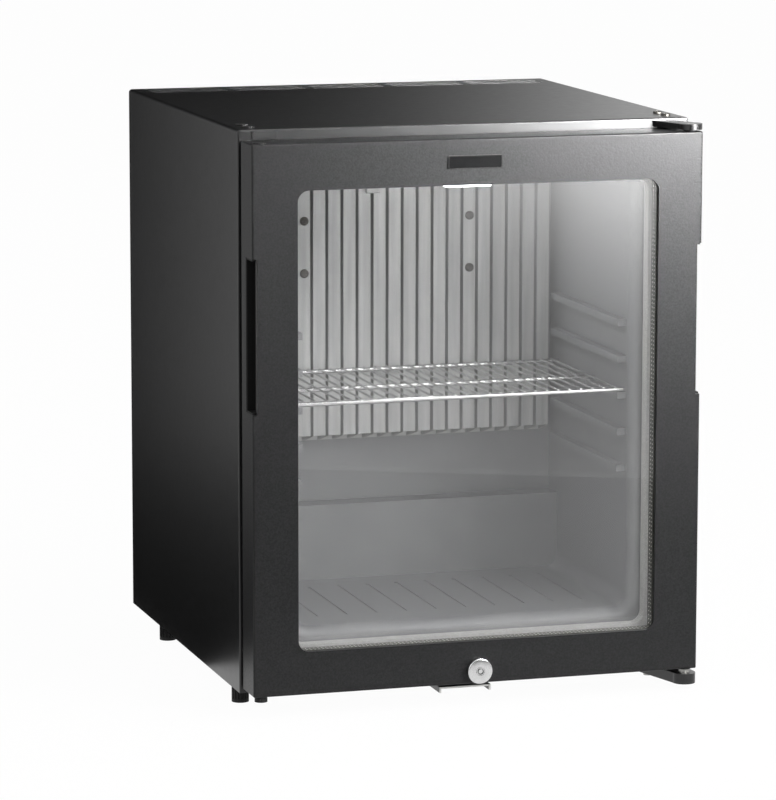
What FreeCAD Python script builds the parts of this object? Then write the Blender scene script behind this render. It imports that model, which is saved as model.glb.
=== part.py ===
import FreeCAD, Part
import math
import os
import re
import Sketcher

# A free-standing minibar fridge with a glass door, in millimetres.
# +Z is up and the door faces -Y. The origin is on the floor, under the middle of the fridge.

Vector = FreeCAD.Vector

SIZES = {
    # whole fridge
    "shell_width": 402,
    "shell_depth": 385,
    "shell_height": 482,
    "foot_height": 15,
    "door_gap": 6,
    "seat_gap": 0.3,
    "running_clearance": 0.1,
    "overrun": 2,
    "edge_match": 0.001,
    # sheet-steel shell and base
    "skin": 0.8,
    "fold_radius": 3,
    "front_fold_radius": 1.5,
    "side_flange": 26,
    "top_flange": 36,
    "bottom_flange": 30,
    "base_gauge": 1,
    "base_rear_flange": 20,
    "vent_length": 70,
    "vent_width": 4,
    "vent_pitch": 76,
    "vent_row_pitch": 12,
    "vent_margin": 10,
    "vent_columns": 5,
    "vent_rows": 3,
    # inner lining, its mouth and its insulation
    "side_wall": 51,
    "top_wall": 48,
    "liner_depth": 215,
    "liner_wall": 2,
    "liner_corner": 12,
    "floor_rise": 54,
    "step_depth": 23,
    "step_height": 68,
    "mouth_depth": 12,
    "mouth_lap": 4,
    "mouth_round": 10,
    "rear_foam": 45,
    "ledge_height": 6,
    "ledge_reach": 8,
    "ledge_back": 25,
    "ledge_pitch": 32,
    "ledge_count": 5,
    "groove_width": 3,
    "groove_depth": 0.8,
    "groove_pitch": 27,
    "groove_count": 10,
    "groove_margin": 30,
    # wire shelf
    "shelf_height": 245,
    "shelf_setback": 14,
    "shelf_rear_gap": 2,
    "mid_rail_share": 0.432,
    "shelf_side_gap": 2.5,
    "rail_radius": 2,
    "wire_radius": 1,
    "wire_margin": 7.1,
    "wire_count": 28,
    # evaporator
    "fin_side_gap": 10,
    "fin_count": 20,
    "fin_reach": 28,
    "fin_foot": 13.2,
    "fin_face": 11.2,
    "fin_gauge": 1.2,
    "fin_backing": 2,
    "fin_top_gap": 4,
    "fin_drop": 252,
    "fin_bevel": 9,
    "fin_screw_column": 77,
    "fin_screw_offset": -14,
    "fin_screw_drop": 54,
    "fin_screw_step": 47,
    "plug_margin": 19,
    "plug_foot": 34,
    "plug_top_gap": 40,
    "recess_margin": 14,
    "recess_room": 6,
    "coolant_radius": 8,
    "coolant_bend": 18,
    "evaporator_leg": 60,
    "evaporator_right": 36,
    "evaporator_rise": 80,
    "evaporator_tail": 12,
    # lamp and sensor
    "lamp_width": 43,
    "lamp_depth": 20,
    "lamp_height": 8.5,
    "lamp_setback": 34,
    "lamp_offset": 13,
    "diffuser_height": 3,
    "diffuser_lip": 1.5,
    "sensor_width": 12,
    "sensor_height": 5,
    "sensor_depth": 4,
    "sensor_drop": 22,
    # screws
    "screw_shank": 2,
    "screw_head": 4,
    "screw_head_height": 1.8,
    "screw_reach": 14,
    "fit_slack": 0.05,
    # hinges
    "pivot_inset": 8.5,
    "pivot_setback": 8,
    "pin_radius": 3,
    "pin_reach": 12,
    "tip_radius": 10,
    "top_arm_gauge": 5,
    "bottom_arm_gauge": 9,
    "arm_left": 35,
    "arm_right": 5,
    "arm_depth": 50,
    "bottom_arm_depth": 22,
    "slot_inset": 13,
    "slot_width": 20,
    "arm_screw_inset": 14,
    "arm_screw_front": 18,
    "arm_screw_step": 20,
    "arm_screw_count": 2,
    "hinge_screw_step": 14,
    "washer_radius": 5,
    "bush_radius": 4.5,
    "bush_flange": 6,
    "bush_flange_height": 1,
    "bottom_plug_height": 5,
    "cap_radius": 5.5,
    "cap_height": 1,
    "cover_gauge": 1,
    "cover_lap": 0.5,
    # door
    "door_side_gap": 1.5,
    "door_rise": 4.5,
    "door_drop": 8.5,
    "door_thickness": 34,
    "door_panel": 3,
    "door_wall": 2,
    "door_edge_round": 1.5,
    "door_stile": 39.5,
    "door_top_rail": 39.5,
    "door_bottom_rail": 37,
    "window_corner": 10,
    "glass_lap": 8,
    "glass_gauge": 4,
    "spacer_depth": 12,
    "spacer_width": 6,
    "inner_frame_gauge": 2.5,
    "inner_frame_show": 2,
    "gasket_inset": 10,
    "gasket_width": 12,
    "magnet_width": 7,
    "magnet_depth": 2.4,
    # badge and grips
    "badge_width": 48,
    "badge_height": 11.6,
    "badge_gauge": 1.2,
    "badge_corner": 1.5,
    "badge_offset": -5,
    "badge_drop": 19.9,
    "grip_drop": 96,
    "grip_height": 131,
    "grip_depth": 20,
    "grip_notch": 4,
    "grip_reach": 16,
    "grip_wall": 1.5,
    "grip_inset": 0.4,
    # lock and keeper
    "lock_projection": 6,
    "lock_radius": 11,
    "lock_rise": 11.5,
    "barrel_radius": 7,
    "barrel_reach": 22.7,
    "core_radius": 5,
    "nose_radius": 3.5,
    "nose_length": 2,
    "key_outer": 2.9,
    "key_inner": 1.8,
    "key_depth": 6,
    "nut_radius": 9.2,
    "nut_height": 4,
    "cam_reach": 24,
    "cam_width": 10,
    "cam_gauge": 2,
    "cam_room": 2,
    "keeper_width": 46,
    "keeper_offset": -8,
    "keeper_setback": 12,
    "keeper_gauge": 1.5,
    "keeper_flange": 5,
    "keeper_lap": 26,
    "keeper_screw_step": 28,
    "keeper_screw_setback": 14,
    # feet
    "foot_radius": 7.5,
    "foot_inset": 9.5,
    "foot_front_setback": 34,
    "foot_rear_gap": 27.2,
    "foot_stem_radius": 3,
    "foot_stem_reach": 9,
    "foot_rib_depth": 0.8,
    "foot_rib_count": 16,
    "foot_skirt": 3,
    "foot_well": 6,
    # cooling unit behind the cabinet
    "unit_setback": 60,
    "vessel_radius": 28,
    "vessel_length": 210,
    "vessel_left": 50,
    "vessel_clearance": 18,
    "vessel_round": 9,
    "stub_radius": 12,
    "stub_height": 6,
    "stub_inset": 50,
    "boiler_inset": 61,
    "boiler_radius": 11,
    "boiler_bottom": 59,
    "boiler_height": 325,
    "jacket_radius": 38,
    "jacket_height": 220,
    "jacket_rise": 36,
    "heater_radius": 7,
    "heater_height": 130,
    "heater_offset": 21,
    "heater_tail": 8,
    "condenser_fin_depth": 60,
    "condenser_fin_height": 44,
    "condenser_fin_gauge": 0.6,
    "condenser_fin_pitch": 6,
    "condenser_fin_count": 24,
    "condenser_fin_start": 35,
    "absorber_left": 50,
    "absorber_right": 30,
    "absorber_pitch": 40,
    "absorber_runs": 4,
    "feed_bend": 11,
    "bracket_width": 30,
    "bracket_gauge": 1.5,
    "bracket_foot": 24,
    "bracket_spread": 75,
    "bracket_screw_rise": 12,
    # control box
    "box_left": 5,
    "box_width": 80,
    "box_height": 110,
    "box_depth": 50,
    "box_wall": 1.5,
    "box_rise": 145,
    "box_corner": 4,
    "thermostat_size": 30,
    "thermostat_depth": 25,
    "thermostat_drop": 32,
    "knob_radius": 14,
    "knob_height": 14,
    "knob_shaft": 3,
    "knob_shaft_reach": 6.25,
    "pointer_start": 4.7,
    "knob_gap": 0.6,
    "knob_flute": 1.2,
    "knob_flute_count": 12,
    "gland_radius": 8,
    "gland_bore": 3.5,
    "gland_height": 10,
    "gland_setback": 25,
}

PLACES = {
    # outer box
    "back": "(shell_depth + door_gap + door_thickness + lock_projection) / 2",
    "front": "back - shell_depth",
    "right": "shell_width / 2",
    "inner_right": "right - skin",
    "shell_bottom": "foot_height",
    "shell_top": "foot_height + shell_height",
    "inner_top": "shell_top - skin",
    "base_top": "shell_bottom + base_gauge",
    "flange_right": "right - side_flange",
    "flange_top": "shell_top - top_flange",
    "flange_bottom": "shell_bottom + bottom_flange",
    # cold space
    "cavity_right": "right - side_wall",
    "cavity_floor": "shell_bottom + floor_rise",
    "cavity_top": "shell_top - top_wall",
    "cavity_back": "front + liner_depth",
    "liner_front": "front + skin + mouth_depth",
    "liner_right": "cavity_right + liner_wall",
    "liner_bottom": "cavity_floor - liner_wall",
    "liner_top": "cavity_top + liner_wall",
    "liner_back": "cavity_back + liner_wall",
    "step_face": "cavity_back - step_depth",
    "step_back": "step_face + liner_wall",
    "step_top": "cavity_floor + step_height",
    "step_under": "step_top - liner_wall",
    "mouth_right": "flange_right + mouth_lap",
    "mouth_top": "flange_top + mouth_lap",
    "mouth_bottom": "flange_bottom - mouth_lap",
    "foam_back": "liner_back + rear_foam",
    "bulkhead_back": "foam_back + skin",
    # wire shelf
    "shelf_level": "shell_bottom + shelf_height",
    "shelf_front": "front + shelf_setback",
    "shelf_end": "fin_front - rail_radius - shelf_rear_gap",
    "shelf_middle": "shelf_front + (shelf_end - shelf_front) * mid_rail_share",
    "shelf_right": "cavity_right - shelf_side_gap",
    "wire_right": "shelf_right - wire_margin",
    "ledge_top": "shelf_level - rail_radius - seat_gap",
    "lowest_ledge": "ledge_top - floor(ledge_count / 2) * ledge_pitch",
    # evaporator
    "fin_right": "cavity_right - fin_side_gap",
    "fin_pitch": "2 * fin_right / fin_count",
    "fin_top": "cavity_top - fin_top_gap",
    "fin_bottom": "fin_top - fin_drop",
    "fin_front": "cavity_back - fin_reach",
    "fin_screw_left": "fin_screw_offset - fin_screw_column",
    "fin_screw_right": "fin_screw_offset + fin_screw_column",
    "fin_screw_top": "cavity_top - fin_screw_drop",
    "fin_screw_low": "fin_screw_top - fin_screw_step",
    "plug_right": "fin_screw_column - fin_screw_offset + plug_margin",
    "plug_top": "shell_top - plug_top_gap",
    "plug_bottom": "coolant_low - coolant_radius - recess_room - plug_foot",
    "coolant_front": "liner_back + coolant_radius + seat_gap",
    "recess_back": "coolant_front + coolant_bend",
    "coolant_high": "plug_top - recess_margin - coolant_radius - running_clearance",
    "coolant_low": "coolant_high - evaporator_rise",
    "coolant_join": "bulkhead_back + evaporator_tail",
    "unit_line": "bulkhead_back + unit_setback",
    # hinges
    "pivot_x": "door_right - pivot_inset",
    "pivot_y": "door_front + pivot_setback",
    "top_arm_low": "door_top + bush_flange_height + seat_gap",
    "top_arm_high": "top_arm_low + top_arm_gauge",
    "bottom_arm_low": "shell_bottom - bottom_arm_gauge",
    "arm_screw_x": "right - arm_screw_inset",
    "slot_far": "right - slot_inset",
    "slot_near": "slot_far - slot_width",
    "arm_near": "right - arm_left",
    "arm_far": "right - arm_right",
    "bottom_arm_end": "front + skin + bottom_arm_depth",
    "arm_screw_y": "front + arm_screw_front",
    # door
    "door_back": "front - door_gap",
    "door_front": "door_back - door_thickness",
    "door_right": "right - door_side_gap",
    "door_top": "shell_top - door_drop",
    "door_bottom": "shell_bottom + door_rise",
    "panel_back": "door_front + door_panel",
    "shell_side": "door_right - door_wall",
    "shell_ceiling": "door_top - door_wall",
    "shell_floor": "door_bottom + door_wall",
    "window_right": "door_right - door_stile",
    "window_top": "door_top - door_top_rail",
    "window_bottom": "door_bottom + door_bottom_rail",
    "glass_right": "window_right + glass_lap",
    "glass_top": "window_top + glass_lap",
    "glass_bottom": "window_bottom - glass_lap",
    "spacer_front": "panel_back + glass_gauge",
    "spacer_back": "spacer_front + spacer_depth",
    "glass_back": "spacer_back + glass_gauge",
    "frame_plate": "door_back - inner_frame_gauge",
    "sight_right": "window_right - inner_frame_show",
    "sight_top": "window_top - inner_frame_show",
    "sight_bottom": "window_bottom + inner_frame_show",
    "gasket_right": "door_right - gasket_inset",
    "gasket_top": "door_top - gasket_inset",
    "gasket_bottom": "door_bottom + gasket_inset",
    "gasket_back": "front - seat_gap",
    "grip_top": "door_top - grip_drop",
    "grip_bottom": "grip_top - grip_height",
    "grip_back": "door_front + grip_depth",
    "badge_level": "door_top - badge_drop",
    # lock
    "lock_face": "door_front - lock_projection",
    "lock_level": "door_bottom + lock_rise",
    "barrel_end": "door_front + barrel_reach",
    "cam_front": "barrel_end + seat_gap",
    "cam_back": "cam_front + cam_gauge",
    "keeper_left": "keeper_offset - keeper_width / 2",
    "keeper_right": "keeper_offset + keeper_width / 2",
    "keeper_front": "door_front + keeper_setback",
    "keeper_end": "front + keeper_lap",
    "keeper_low": "shell_bottom - keeper_gauge",
    # feet
    "foot_x": "right - foot_inset",
    "foot_front_y": "front + foot_front_setback",
    "foot_rear_y": "bulkhead_back + foot_rear_gap",
    # cooling unit
    "vessel_level": "base_top + vessel_clearance + vessel_radius",
    "vessel_start": "vessel_left - right",
    "vessel_end": "vessel_start + vessel_length",
    "stub_top": "vessel_level + vessel_radius + stub_height",
    "stub_x": "vessel_start + stub_inset",
    "boiler_x": "right - boiler_inset",
    "boiler_low": "base_top + boiler_bottom",
    "boiler_high": "boiler_low + boiler_height",
    "jacket_low": "boiler_low + jacket_rise",
    "jacket_high": "jacket_low + jacket_height",
    "heater_x": "boiler_x - heater_offset",
    "coil_left": "absorber_left - right",
    "coil_right": "-absorber_right",
    # control box
    "box_right": "box_left + box_width",
    "box_low": "shell_bottom + box_rise",
    "box_high": "box_low + box_height",
    "box_back": "bulkhead_back + box_depth",
    "cover_back": "box_back + box_wall",
    "knob_x": "box_left + box_width / 2",
    "knob_z": "box_high - thermostat_drop",
    "gland_y": "bulkhead_back + gland_setback",
}

doc = FreeCAD.newDocument("minibar")
SHEETS = {}


def fill_sheet(name, entries):
    """Write one named cell per entry. All the names are known before the first formula is written."""
    sheet = doc.addObject("Spreadsheet::Sheet", name)
    for row, alias in enumerate(entries, start=1):
        SHEETS[alias] = sheet
        sheet.set(f"A{row}", alias)
        sheet.setAlias(f"B{row}", alias)
    for row, entry in enumerate(entries.values(), start=1):
        sheet.set(f"B{row}", f"={tied(entry)}" if isinstance(entry, str) else str(entry))


def tied(text):
    """Turn a formula in plain size names into one that points at the sheets' cells."""

    def point(found):
        word = found.group(0)
        if word in SHEETS:
            return f"{SHEETS[word].Name}.{word}"
        if word == "floor":
            return word
        raise KeyError(f"no size is called {word}")

    return re.sub(r"[a-z_]+[a-z_0-9]*", point, text)


def value(alias):
    """Read a named size or place."""
    return float(getattr(SHEETS[alias], alias))


fill_sheet("Sizes", SIZES)
fill_sheet("Places", PLACES)
doc.recompute()


# Sketches: each drawing function returns a function that draws on a sketch.
PLANES = {"x": "YZ_Plane", "y": "XZ_Plane", "z": "XY_Plane"}
AXES = {"x": "X_Axis", "y": "Y_Axis", "z": "Z_Axis"}


def origin_feature(body, role):
    return next(feature for feature in body.Origin.OriginFeatures if feature.Role == role)


def sketch_on(body, axis, place):
    """A sketch square to an axis. The XZ plane faces -Y, so there the offset changes sign."""
    sketch = body.newObject("Sketcher::SketchObject", "outline")
    sketch.AttachmentSupport = [(origin_feature(body, PLANES[axis]), "")]
    sketch.MapMode = "FlatFace"
    sign = "-" if axis == "y" else ""
    sketch.setExpression("AttachmentOffset.Base.z", tied(f"{sign}({place})"))
    return sketch


def bind(sketch, constraint, formula):
    index = sketch.addConstraint(constraint)
    sketch.setExpression(f"Constraints[{index}]", tied(formula))


def polygon(points):
    """A closed outline through points given as pairs of formulas."""

    def draw(sketch):
        count = len(points)
        turn = 2 * math.pi / count
        ring = [Vector(math.cos(turn * i), math.sin(turn * i), 0) for i in range(count)]
        first = sketch.GeometryCount
        for i in range(count):
            sketch.addGeometry(Part.LineSegment(ring[i], ring[(i + 1) % count]), False)
        for i in range(count):
            after = first + (i + 1) % count
            sketch.addConstraint(Sketcher.Constraint("Coincident", first + i, 2, after, 1))
        for i, (across, along) in enumerate(points):
            start = ring[i]
            bind(sketch, Sketcher.Constraint("DistanceX", -1, 1, first + i, 1, start.x), across)
            bind(sketch, Sketcher.Constraint("DistanceY", -1, 1, first + i, 1, start.y), along)

    return draw


def rectangle(left, right, low, high):
    return polygon([(left, low), (right, low), (right, high), (left, high)])


def circle(across, along, radius):
    def draw(sketch):
        index = sketch.addGeometry(Part.Circle(Vector(0, 0, 0), Vector(0, 0, 1), 1), False)
        bind(sketch, Sketcher.Constraint("DistanceX", -1, 1, index, 3, 0), across)
        bind(sketch, Sketcher.Constraint("DistanceY", -1, 1, index, 3, 0), along)
        bind(sketch, Sketcher.Constraint("Radius", index, 1), radius)

    return draw


def together(*drawings):
    def draw(sketch):
        for drawing in drawings:
            drawing(sketch)

    return draw


# Solid features on a body
NODES = []


def new_body(label):
    body = doc.addObject("PartDesign::Body", label)
    body.Label = label
    NODES.append(body)
    return body


def add(body, axis, drawing, low, high):
    """Pad an outline between two places along an axis."""
    sketch = sketch_on(body, axis, high if axis == "y" else low)
    drawing(sketch)
    pad = body.newObject("PartDesign::Pad", "pad")
    pad.Profile = sketch
    pad.setExpression("Length", tied(f"({high}) - ({low})"))
    doc.recompute()
    return pad


def cut(body, axis, drawing, low, high):
    """Pocket an outline between two places along an axis, and see that it took material away."""
    before = body.Shape.Volume
    sketch = sketch_on(body, axis, low if axis == "y" else high)
    drawing(sketch)
    pocket = body.newObject("PartDesign::Pocket", "pocket")
    pocket.Profile = sketch
    pocket.setExpression("Length", tied(f"({high}) - ({low})"))
    doc.recompute()
    if not body.Shape.Volume < before:
        raise RuntimeError(f"a pocket of {body.Label} cuts nothing")
    return pocket


def repeat(body, feature, axis, count, span):
    """Repeat a feature in a row along an axis, over a span from first to last."""
    pattern = body.newObject("PartDesign::LinearPattern", "row")
    pattern.Originals = [feature]
    pattern.Direction = (origin_feature(body, AXES[axis]), [""])
    pattern.setExpression("Length", tied(span))
    pattern.setExpression("Occurrences", tied(count))
    body.Tip = pattern
    doc.recompute()
    return pattern


def turned(body, feature, count):
    """Repeat a feature evenly round the body's own Z axis."""
    pattern = body.newObject("PartDesign::PolarPattern", "ring")
    pattern.Originals = [feature]
    pattern.Axis = (origin_feature(body, AXES["z"]), [""])
    pattern.setExpression("Occurrences", tied(count))
    body.Tip = pattern
    doc.recompute()
    return pattern


def runs(axis, **places):
    """A test for straight edges along an axis that lie at the given places."""

    def matches(edge):
        if edge.Degenerated or not isinstance(edge.Curve, Part.Line):
            return False
        ends = [vertex.Point for vertex in edge.Vertexes]
        along = ends[1] - ends[0]
        if abs(getattr(along.normalize(), axis)) < math.cos(math.radians(1)):
            return False
        return all(
            any(near(getattr(end, name), at) for at in options)
            for name, options in places.items()
            for end in ends
        )

    return matches


def flat_at(axis, *places):
    """A test for edges that lie flat at one of the places along an axis."""

    def matches(edge):
        low, high = (getattr(edge.BoundBox, axis.upper() + end) for end in ("Min", "Max"))
        return near(low, high) and any(near(low, place) for place in places)

    return matches


def near(one, other):
    return math.isclose(one, other, abs_tol=value("edge_match"))


def both(alias):
    return [-value(alias), value(alias)]


def round_edges(body, radius, matches):
    base = body.Tip
    edges = [f"Edge{i}" for i, edge in enumerate(body.Shape.Edges, start=1) if matches(edge)]
    if not edges:
        raise RuntimeError(f"no edge of {body.Label} to round")
    fillet = body.newObject("PartDesign::Fillet", "round")
    fillet.Base = (base, edges)
    fillet.setExpression("Radius", tied(radius))
    body.Tip = fillet
    doc.recompute()


# Primitives, and groups of them
FACING = {"x": Vector(1, 0, 0), "y": Vector(0, 1, 0), "z": Vector(0, 0, 1)}


def set_place(piece, x, y, z):
    for name, formula in zip("xyz", (x, y, z)):
        piece.setExpression(f"Placement.Base.{name}", tied(formula))


def block(x, y, z, label="block"):
    """A box between pairs of places along X, Y and Z."""
    piece = doc.addObject("Part::Box", label)
    for name, (low, high) in zip(("Length", "Width", "Height"), (x, y, z)):
        piece.setExpression(name, tied(f"({high}) - ({low})"))
    set_place(piece, x[0], y[0], z[0])
    return piece


def rod(axis, centre, radius, low, high, label="rod"):
    """A round bar along an axis. Its centre is given along the other two axes, in order."""
    piece = doc.addObject("Part::Cylinder", label)
    piece.Placement = FreeCAD.Placement(Vector(), FreeCAD.Rotation(FACING["z"], FACING[axis]))
    piece.setExpression("Radius", tied(radius))
    piece.setExpression("Height", tied(f"({high}) - ({low})"))
    spots = dict(zip([name for name in "xyz" if name != axis], centre))
    spots[axis] = low
    set_place(piece, spots["x"], spots["y"], spots["z"])
    return piece


def fuse(pieces, label="fused"):
    if len(pieces) == 1:
        return pieces[0]
    joined = doc.addObject("Part::MultiFuse", label)
    joined.Shapes = pieces
    return joined


def carve(base, tools, label="carved"):
    cutter = doc.addObject("Part::Cut", label)
    cutter.Base = base
    cutter.Tool = fuse(tools)
    return cutter


def keep(piece, label):
    """Make a piece one of the fridge's named sub-parts."""
    piece.Label = label
    NODES.append(piece)
    doc.recompute()
    return piece


def keep_group(pieces, label):
    group = doc.addObject("Part::Compound", label)
    group.Links = pieces
    return keep(group, label)


def screw(axis, centre, seat, reach):
    """A pan-head screw along Y or Z: the head stands against the seat, on the low side of it."""
    head = rod(axis, centre, "screw_head", f"({seat}) - screw_head_height", seat)
    shank = rod(axis, centre, "screw_shank", seat, f"({seat}) + ({reach})")
    return fuse([head, shank])


def bent_tube(label, points, bend, radius):
    """A round tube's solid along straight runs joined by tangent arcs."""
    edges = []
    start = points[0]
    for before, corner, after in zip(points, points[1:], points[2:]):
        arriving = (corner - before).normalize()
        leaving = (after - corner).normalize()
        half_turn = arriving.getAngle(leaving) / 2
        back_off = bend * math.tan(half_turn)
        enter = corner - arriving * back_off
        leave = corner + leaving * back_off
        inward = (leaving - arriving).normalize()
        middle = corner + inward * (bend / math.cos(half_turn) - bend)
        edges.append(Part.LineSegment(start, enter).toShape())
        edges.append(Part.Arc(enter, middle, leave).toShape())
        start = leave
    edges.append(Part.LineSegment(start, points[-1]).toShape())
    path = Part.Wire(edges)
    section = Part.Wire(Part.makeCircle(radius, points[0], points[1] - points[0]))
    tube = doc.addObject("Part::Feature", label)
    tube.Shape = path.makePipeShell([section], True, False)
    expected = math.pi * radius**2 * path.Length
    if not math.isclose(tube.Shape.Volume, expected, rel_tol=SOLID_MATCH_SHARE):
        raise RuntimeError(f"{label} is not a clean tube")
    return keep(tube, label)


SOLID_MATCH_SHARE = 0.01


def spot(x, y, z):
    """A point from three names, each with an optional minus sign."""
    numbers = [-value(name[1:]) if name.startswith("-") else value(name) for name in (x, y, z)]
    return Vector(*numbers)


def mirrored_pair(name):
    return (f"-{name}", name)


# Outer shell: one folded sheet for the top and both sides, with a flange round the front
def make_outer_shell():
    body = new_body("outer_shell")
    wrap = [
        ("-right", "shell_bottom"),
        ("-right", "shell_top"),
        ("right", "shell_top"),
        ("right", "shell_bottom"),
        ("inner_right", "shell_bottom"),
        ("inner_right", "inner_top"),
        ("-inner_right", "inner_top"),
        ("-inner_right", "shell_bottom"),
    ]
    add(body, "y", polygon(wrap), "front", "back")
    flange = wrap[:4] + [
        ("flange_right", "shell_bottom"),
        ("flange_right", "flange_top"),
        ("-flange_right", "flange_top"),
        ("-flange_right", "shell_bottom"),
    ]
    add(body, "y", polygon(flange), "front", "front + skin")
    round_edges(body, "fold_radius", runs("y", x=both("right"), z=[value("shell_top")]))
    round_edges(body, "fold_radius - skin", under_top_corners())
    round_edges(body, "front_fold_radius", is_front_fold)
    for side in ("", "-"):
        slot = rectangle(*ordered(side, "slot_near", "slot_far"), "top_arm_low", "top_arm_high")
        cut(body, "y", slot, "front - overrun", "front + skin")
        holes = [screw_hole(x, y) for x, y in top_screw_centres(f"{side}arm_screw_x")]
        cut(body, "z", together(*holes), "inner_top", "shell_top + overrun")
    add_vents(body, "inner_top", "shell_top + overrun")


def under_top_corners():
    """The test for edges in the two top corners inside the shell."""
    return runs("y", x=both("inner_right"), z=[value("inner_top")])


def is_front_fold(edge):
    """True for the shell's outer edge round its front."""
    box = edge.BoundBox
    flat = near(box.YMin, value("front")) and near(box.YMax, value("front"))
    side = near(box.XMin, box.XMax) and near(abs(box.XMax), value("right"))
    return flat and (side or near(box.ZMax, value("shell_top")))


def screw_hole(across, along):
    return circle(across, along, "screw_shank + fit_slack")


def top_screw_centres(x):
    rows = range(int(value("arm_screw_count")))
    return [(x, f"arm_screw_y + {row} * arm_screw_step") for row in rows]


def add_vents(body, low, high):
    """Rows of long slots across the rear, above or below the cooling unit."""
    left = "-((vent_columns - 1) * vent_pitch + vent_length) / 2"
    for row in range(int(value("vent_rows"))):
        end = f"back - skin - vent_margin - {row} * vent_row_pitch"
        slot = rectangle(left, f"{left} + vent_length", f"{end} - vent_width", end)
        first = cut(body, "z", slot, low, high)
        repeat(body, first, "x", "vent_columns", "(vent_columns - 1) * vent_pitch")


# Base plate: closes the shell below, with a flange up at the front and at the back
def make_base_plate():
    body = new_body("base_plate")
    sides = ("-inner_right", "inner_right")
    add(body, "z", rectangle(*sides, "front", "back"), "shell_bottom", "base_top")
    lip = rectangle("-flange_right", "flange_right", "shell_bottom", "flange_bottom")
    add(body, "y", lip, "front", "front + skin")
    tail = rectangle(*sides, "shell_bottom", "shell_bottom + base_rear_flange")
    add(body, "y", tail, "back - skin", "back")
    holes = [circle(x, y, "foot_stem_radius + running_clearance") for x, y in foot_centres()]
    holes += [screw_hole(x, y) for x, y in underside_screw_centres()]
    cut(body, "z", together(*holes), "shell_bottom - overrun", "base_top")
    corners = [
        rectangle(*ordered(side, "flange_right", "inner_right + overrun"), "front - overrun", "front + skin")
        for side in ("-", "")
    ]
    cut(body, "z", together(*corners), "shell_bottom - overrun", "base_top")
    add_vents(body, "shell_bottom - overrun", "base_top")


def foot_centres():
    return [(x, y) for y in ("foot_front_y", "foot_rear_y") for x in mirrored_pair("foot_x")]


def underside_screw_centres():
    """Two screws hold the keeper and two hold the bottom hinge."""
    keeper = [
        (f"keeper_offset {sign} keeper_screw_step / 2", "front + keeper_screw_setback")
        for sign in "-+"
    ]
    arm_middle = "(arm_near + arm_far) / 2"
    hinge = [
        (f"{arm_middle} {sign} hinge_screw_step / 2", "front + skin + bottom_arm_depth / 2")
        for sign in "-+"
    ]
    return keeper + hinge


# Mouth frame: the moulded ring between the steel flange and the lining
def make_mouth_frame():
    body = new_body("mouth_frame")
    outer = rectangle("-mouth_right", "mouth_right", "mouth_bottom", "mouth_top")
    add(body, "y", outer, "front + skin", "liner_front")
    mouth = rectangle("-cavity_right", "cavity_right", "cavity_floor", "cavity_top")
    cut(body, "y", mouth, "front + skin - overrun", "liner_front")
    sides = {"x": both("cavity_right"), "z": [value("cavity_floor"), value("cavity_top")]}
    round_edges(body, "liner_corner", runs("y", **sides))
    round_edges(body, "mouth_round", is_mouth_rim)


def is_mouth_rim(edge):
    """True for the front rim of the opening in the mouth frame."""
    face = value("front") + value("skin")
    box = edge.BoundBox
    flat = near(box.YMin, face) and near(box.YMax, face)
    return flat and max(-box.XMin, box.XMax) < (value("cavity_right") + value("mouth_right")) / 2


# Inner lining: a box open to the front, with a step low at the back and ledges on both sides
def make_inner_liner():
    body = new_body("inner_liner")
    outside = ("-liner_right", "liner_right")
    cavity = ("-cavity_right", "cavity_right")
    add(body, "y", rectangle(*outside, "liner_bottom", "liner_top"), "liner_front", "liner_back")
    cut(body, "y", rectangle(*outside, "liner_bottom", "step_under"), "step_back", "liner_back")
    cut(body, "y", rectangle(*cavity, "cavity_floor", "cavity_top"), "liner_front", "step_face")
    cut(body, "y", rectangle(*cavity, "step_top", "cavity_top"), "step_face", "cavity_back")
    inner = {"x": both("cavity_right"), "z": [value("cavity_floor"), value("cavity_top")]}
    round_edges(body, "liner_corner", runs("y", **inner))
    outer = {"x": both("liner_right"), "z": [value("liner_bottom"), value("liner_top")]}
    round_edges(body, "liner_corner + liner_wall", runs("y", **outer))
    for side in ("", "-"):
        span = ordered(side, "cavity_right - ledge_reach", "cavity_right")
        lowest = rectangle(*span, "lowest_ledge - ledge_height", "lowest_ledge")
        ledge = add(body, "y", lowest, "liner_front", "cavity_back - ledge_back")
        repeat(body, ledge, "z", "ledge_count", "(ledge_count - 1) * ledge_pitch")
    left = "-((groove_count - 1) * groove_pitch + groove_width) / 2"
    ends = ("liner_front + groove_margin", "step_face - groove_margin")
    groove = rectangle(left, f"{left} + groove_width", *ends)
    first = cut(body, "z", groove, "cavity_floor - groove_depth", "cavity_floor")
    repeat(body, first, "x", "groove_count", "(groove_count - 1) * groove_pitch")
    holes = [screw_hole(x, z) for x, z in fin_screw_centres()]
    cut(body, "y", together(*holes), "cavity_back", "liner_back")


def fin_screw_centres():
    levels = ("fin_screw_top", "fin_screw_low")
    return [(x, z) for z in levels for x in ("fin_screw_left", "fin_screw_right")]


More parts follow.
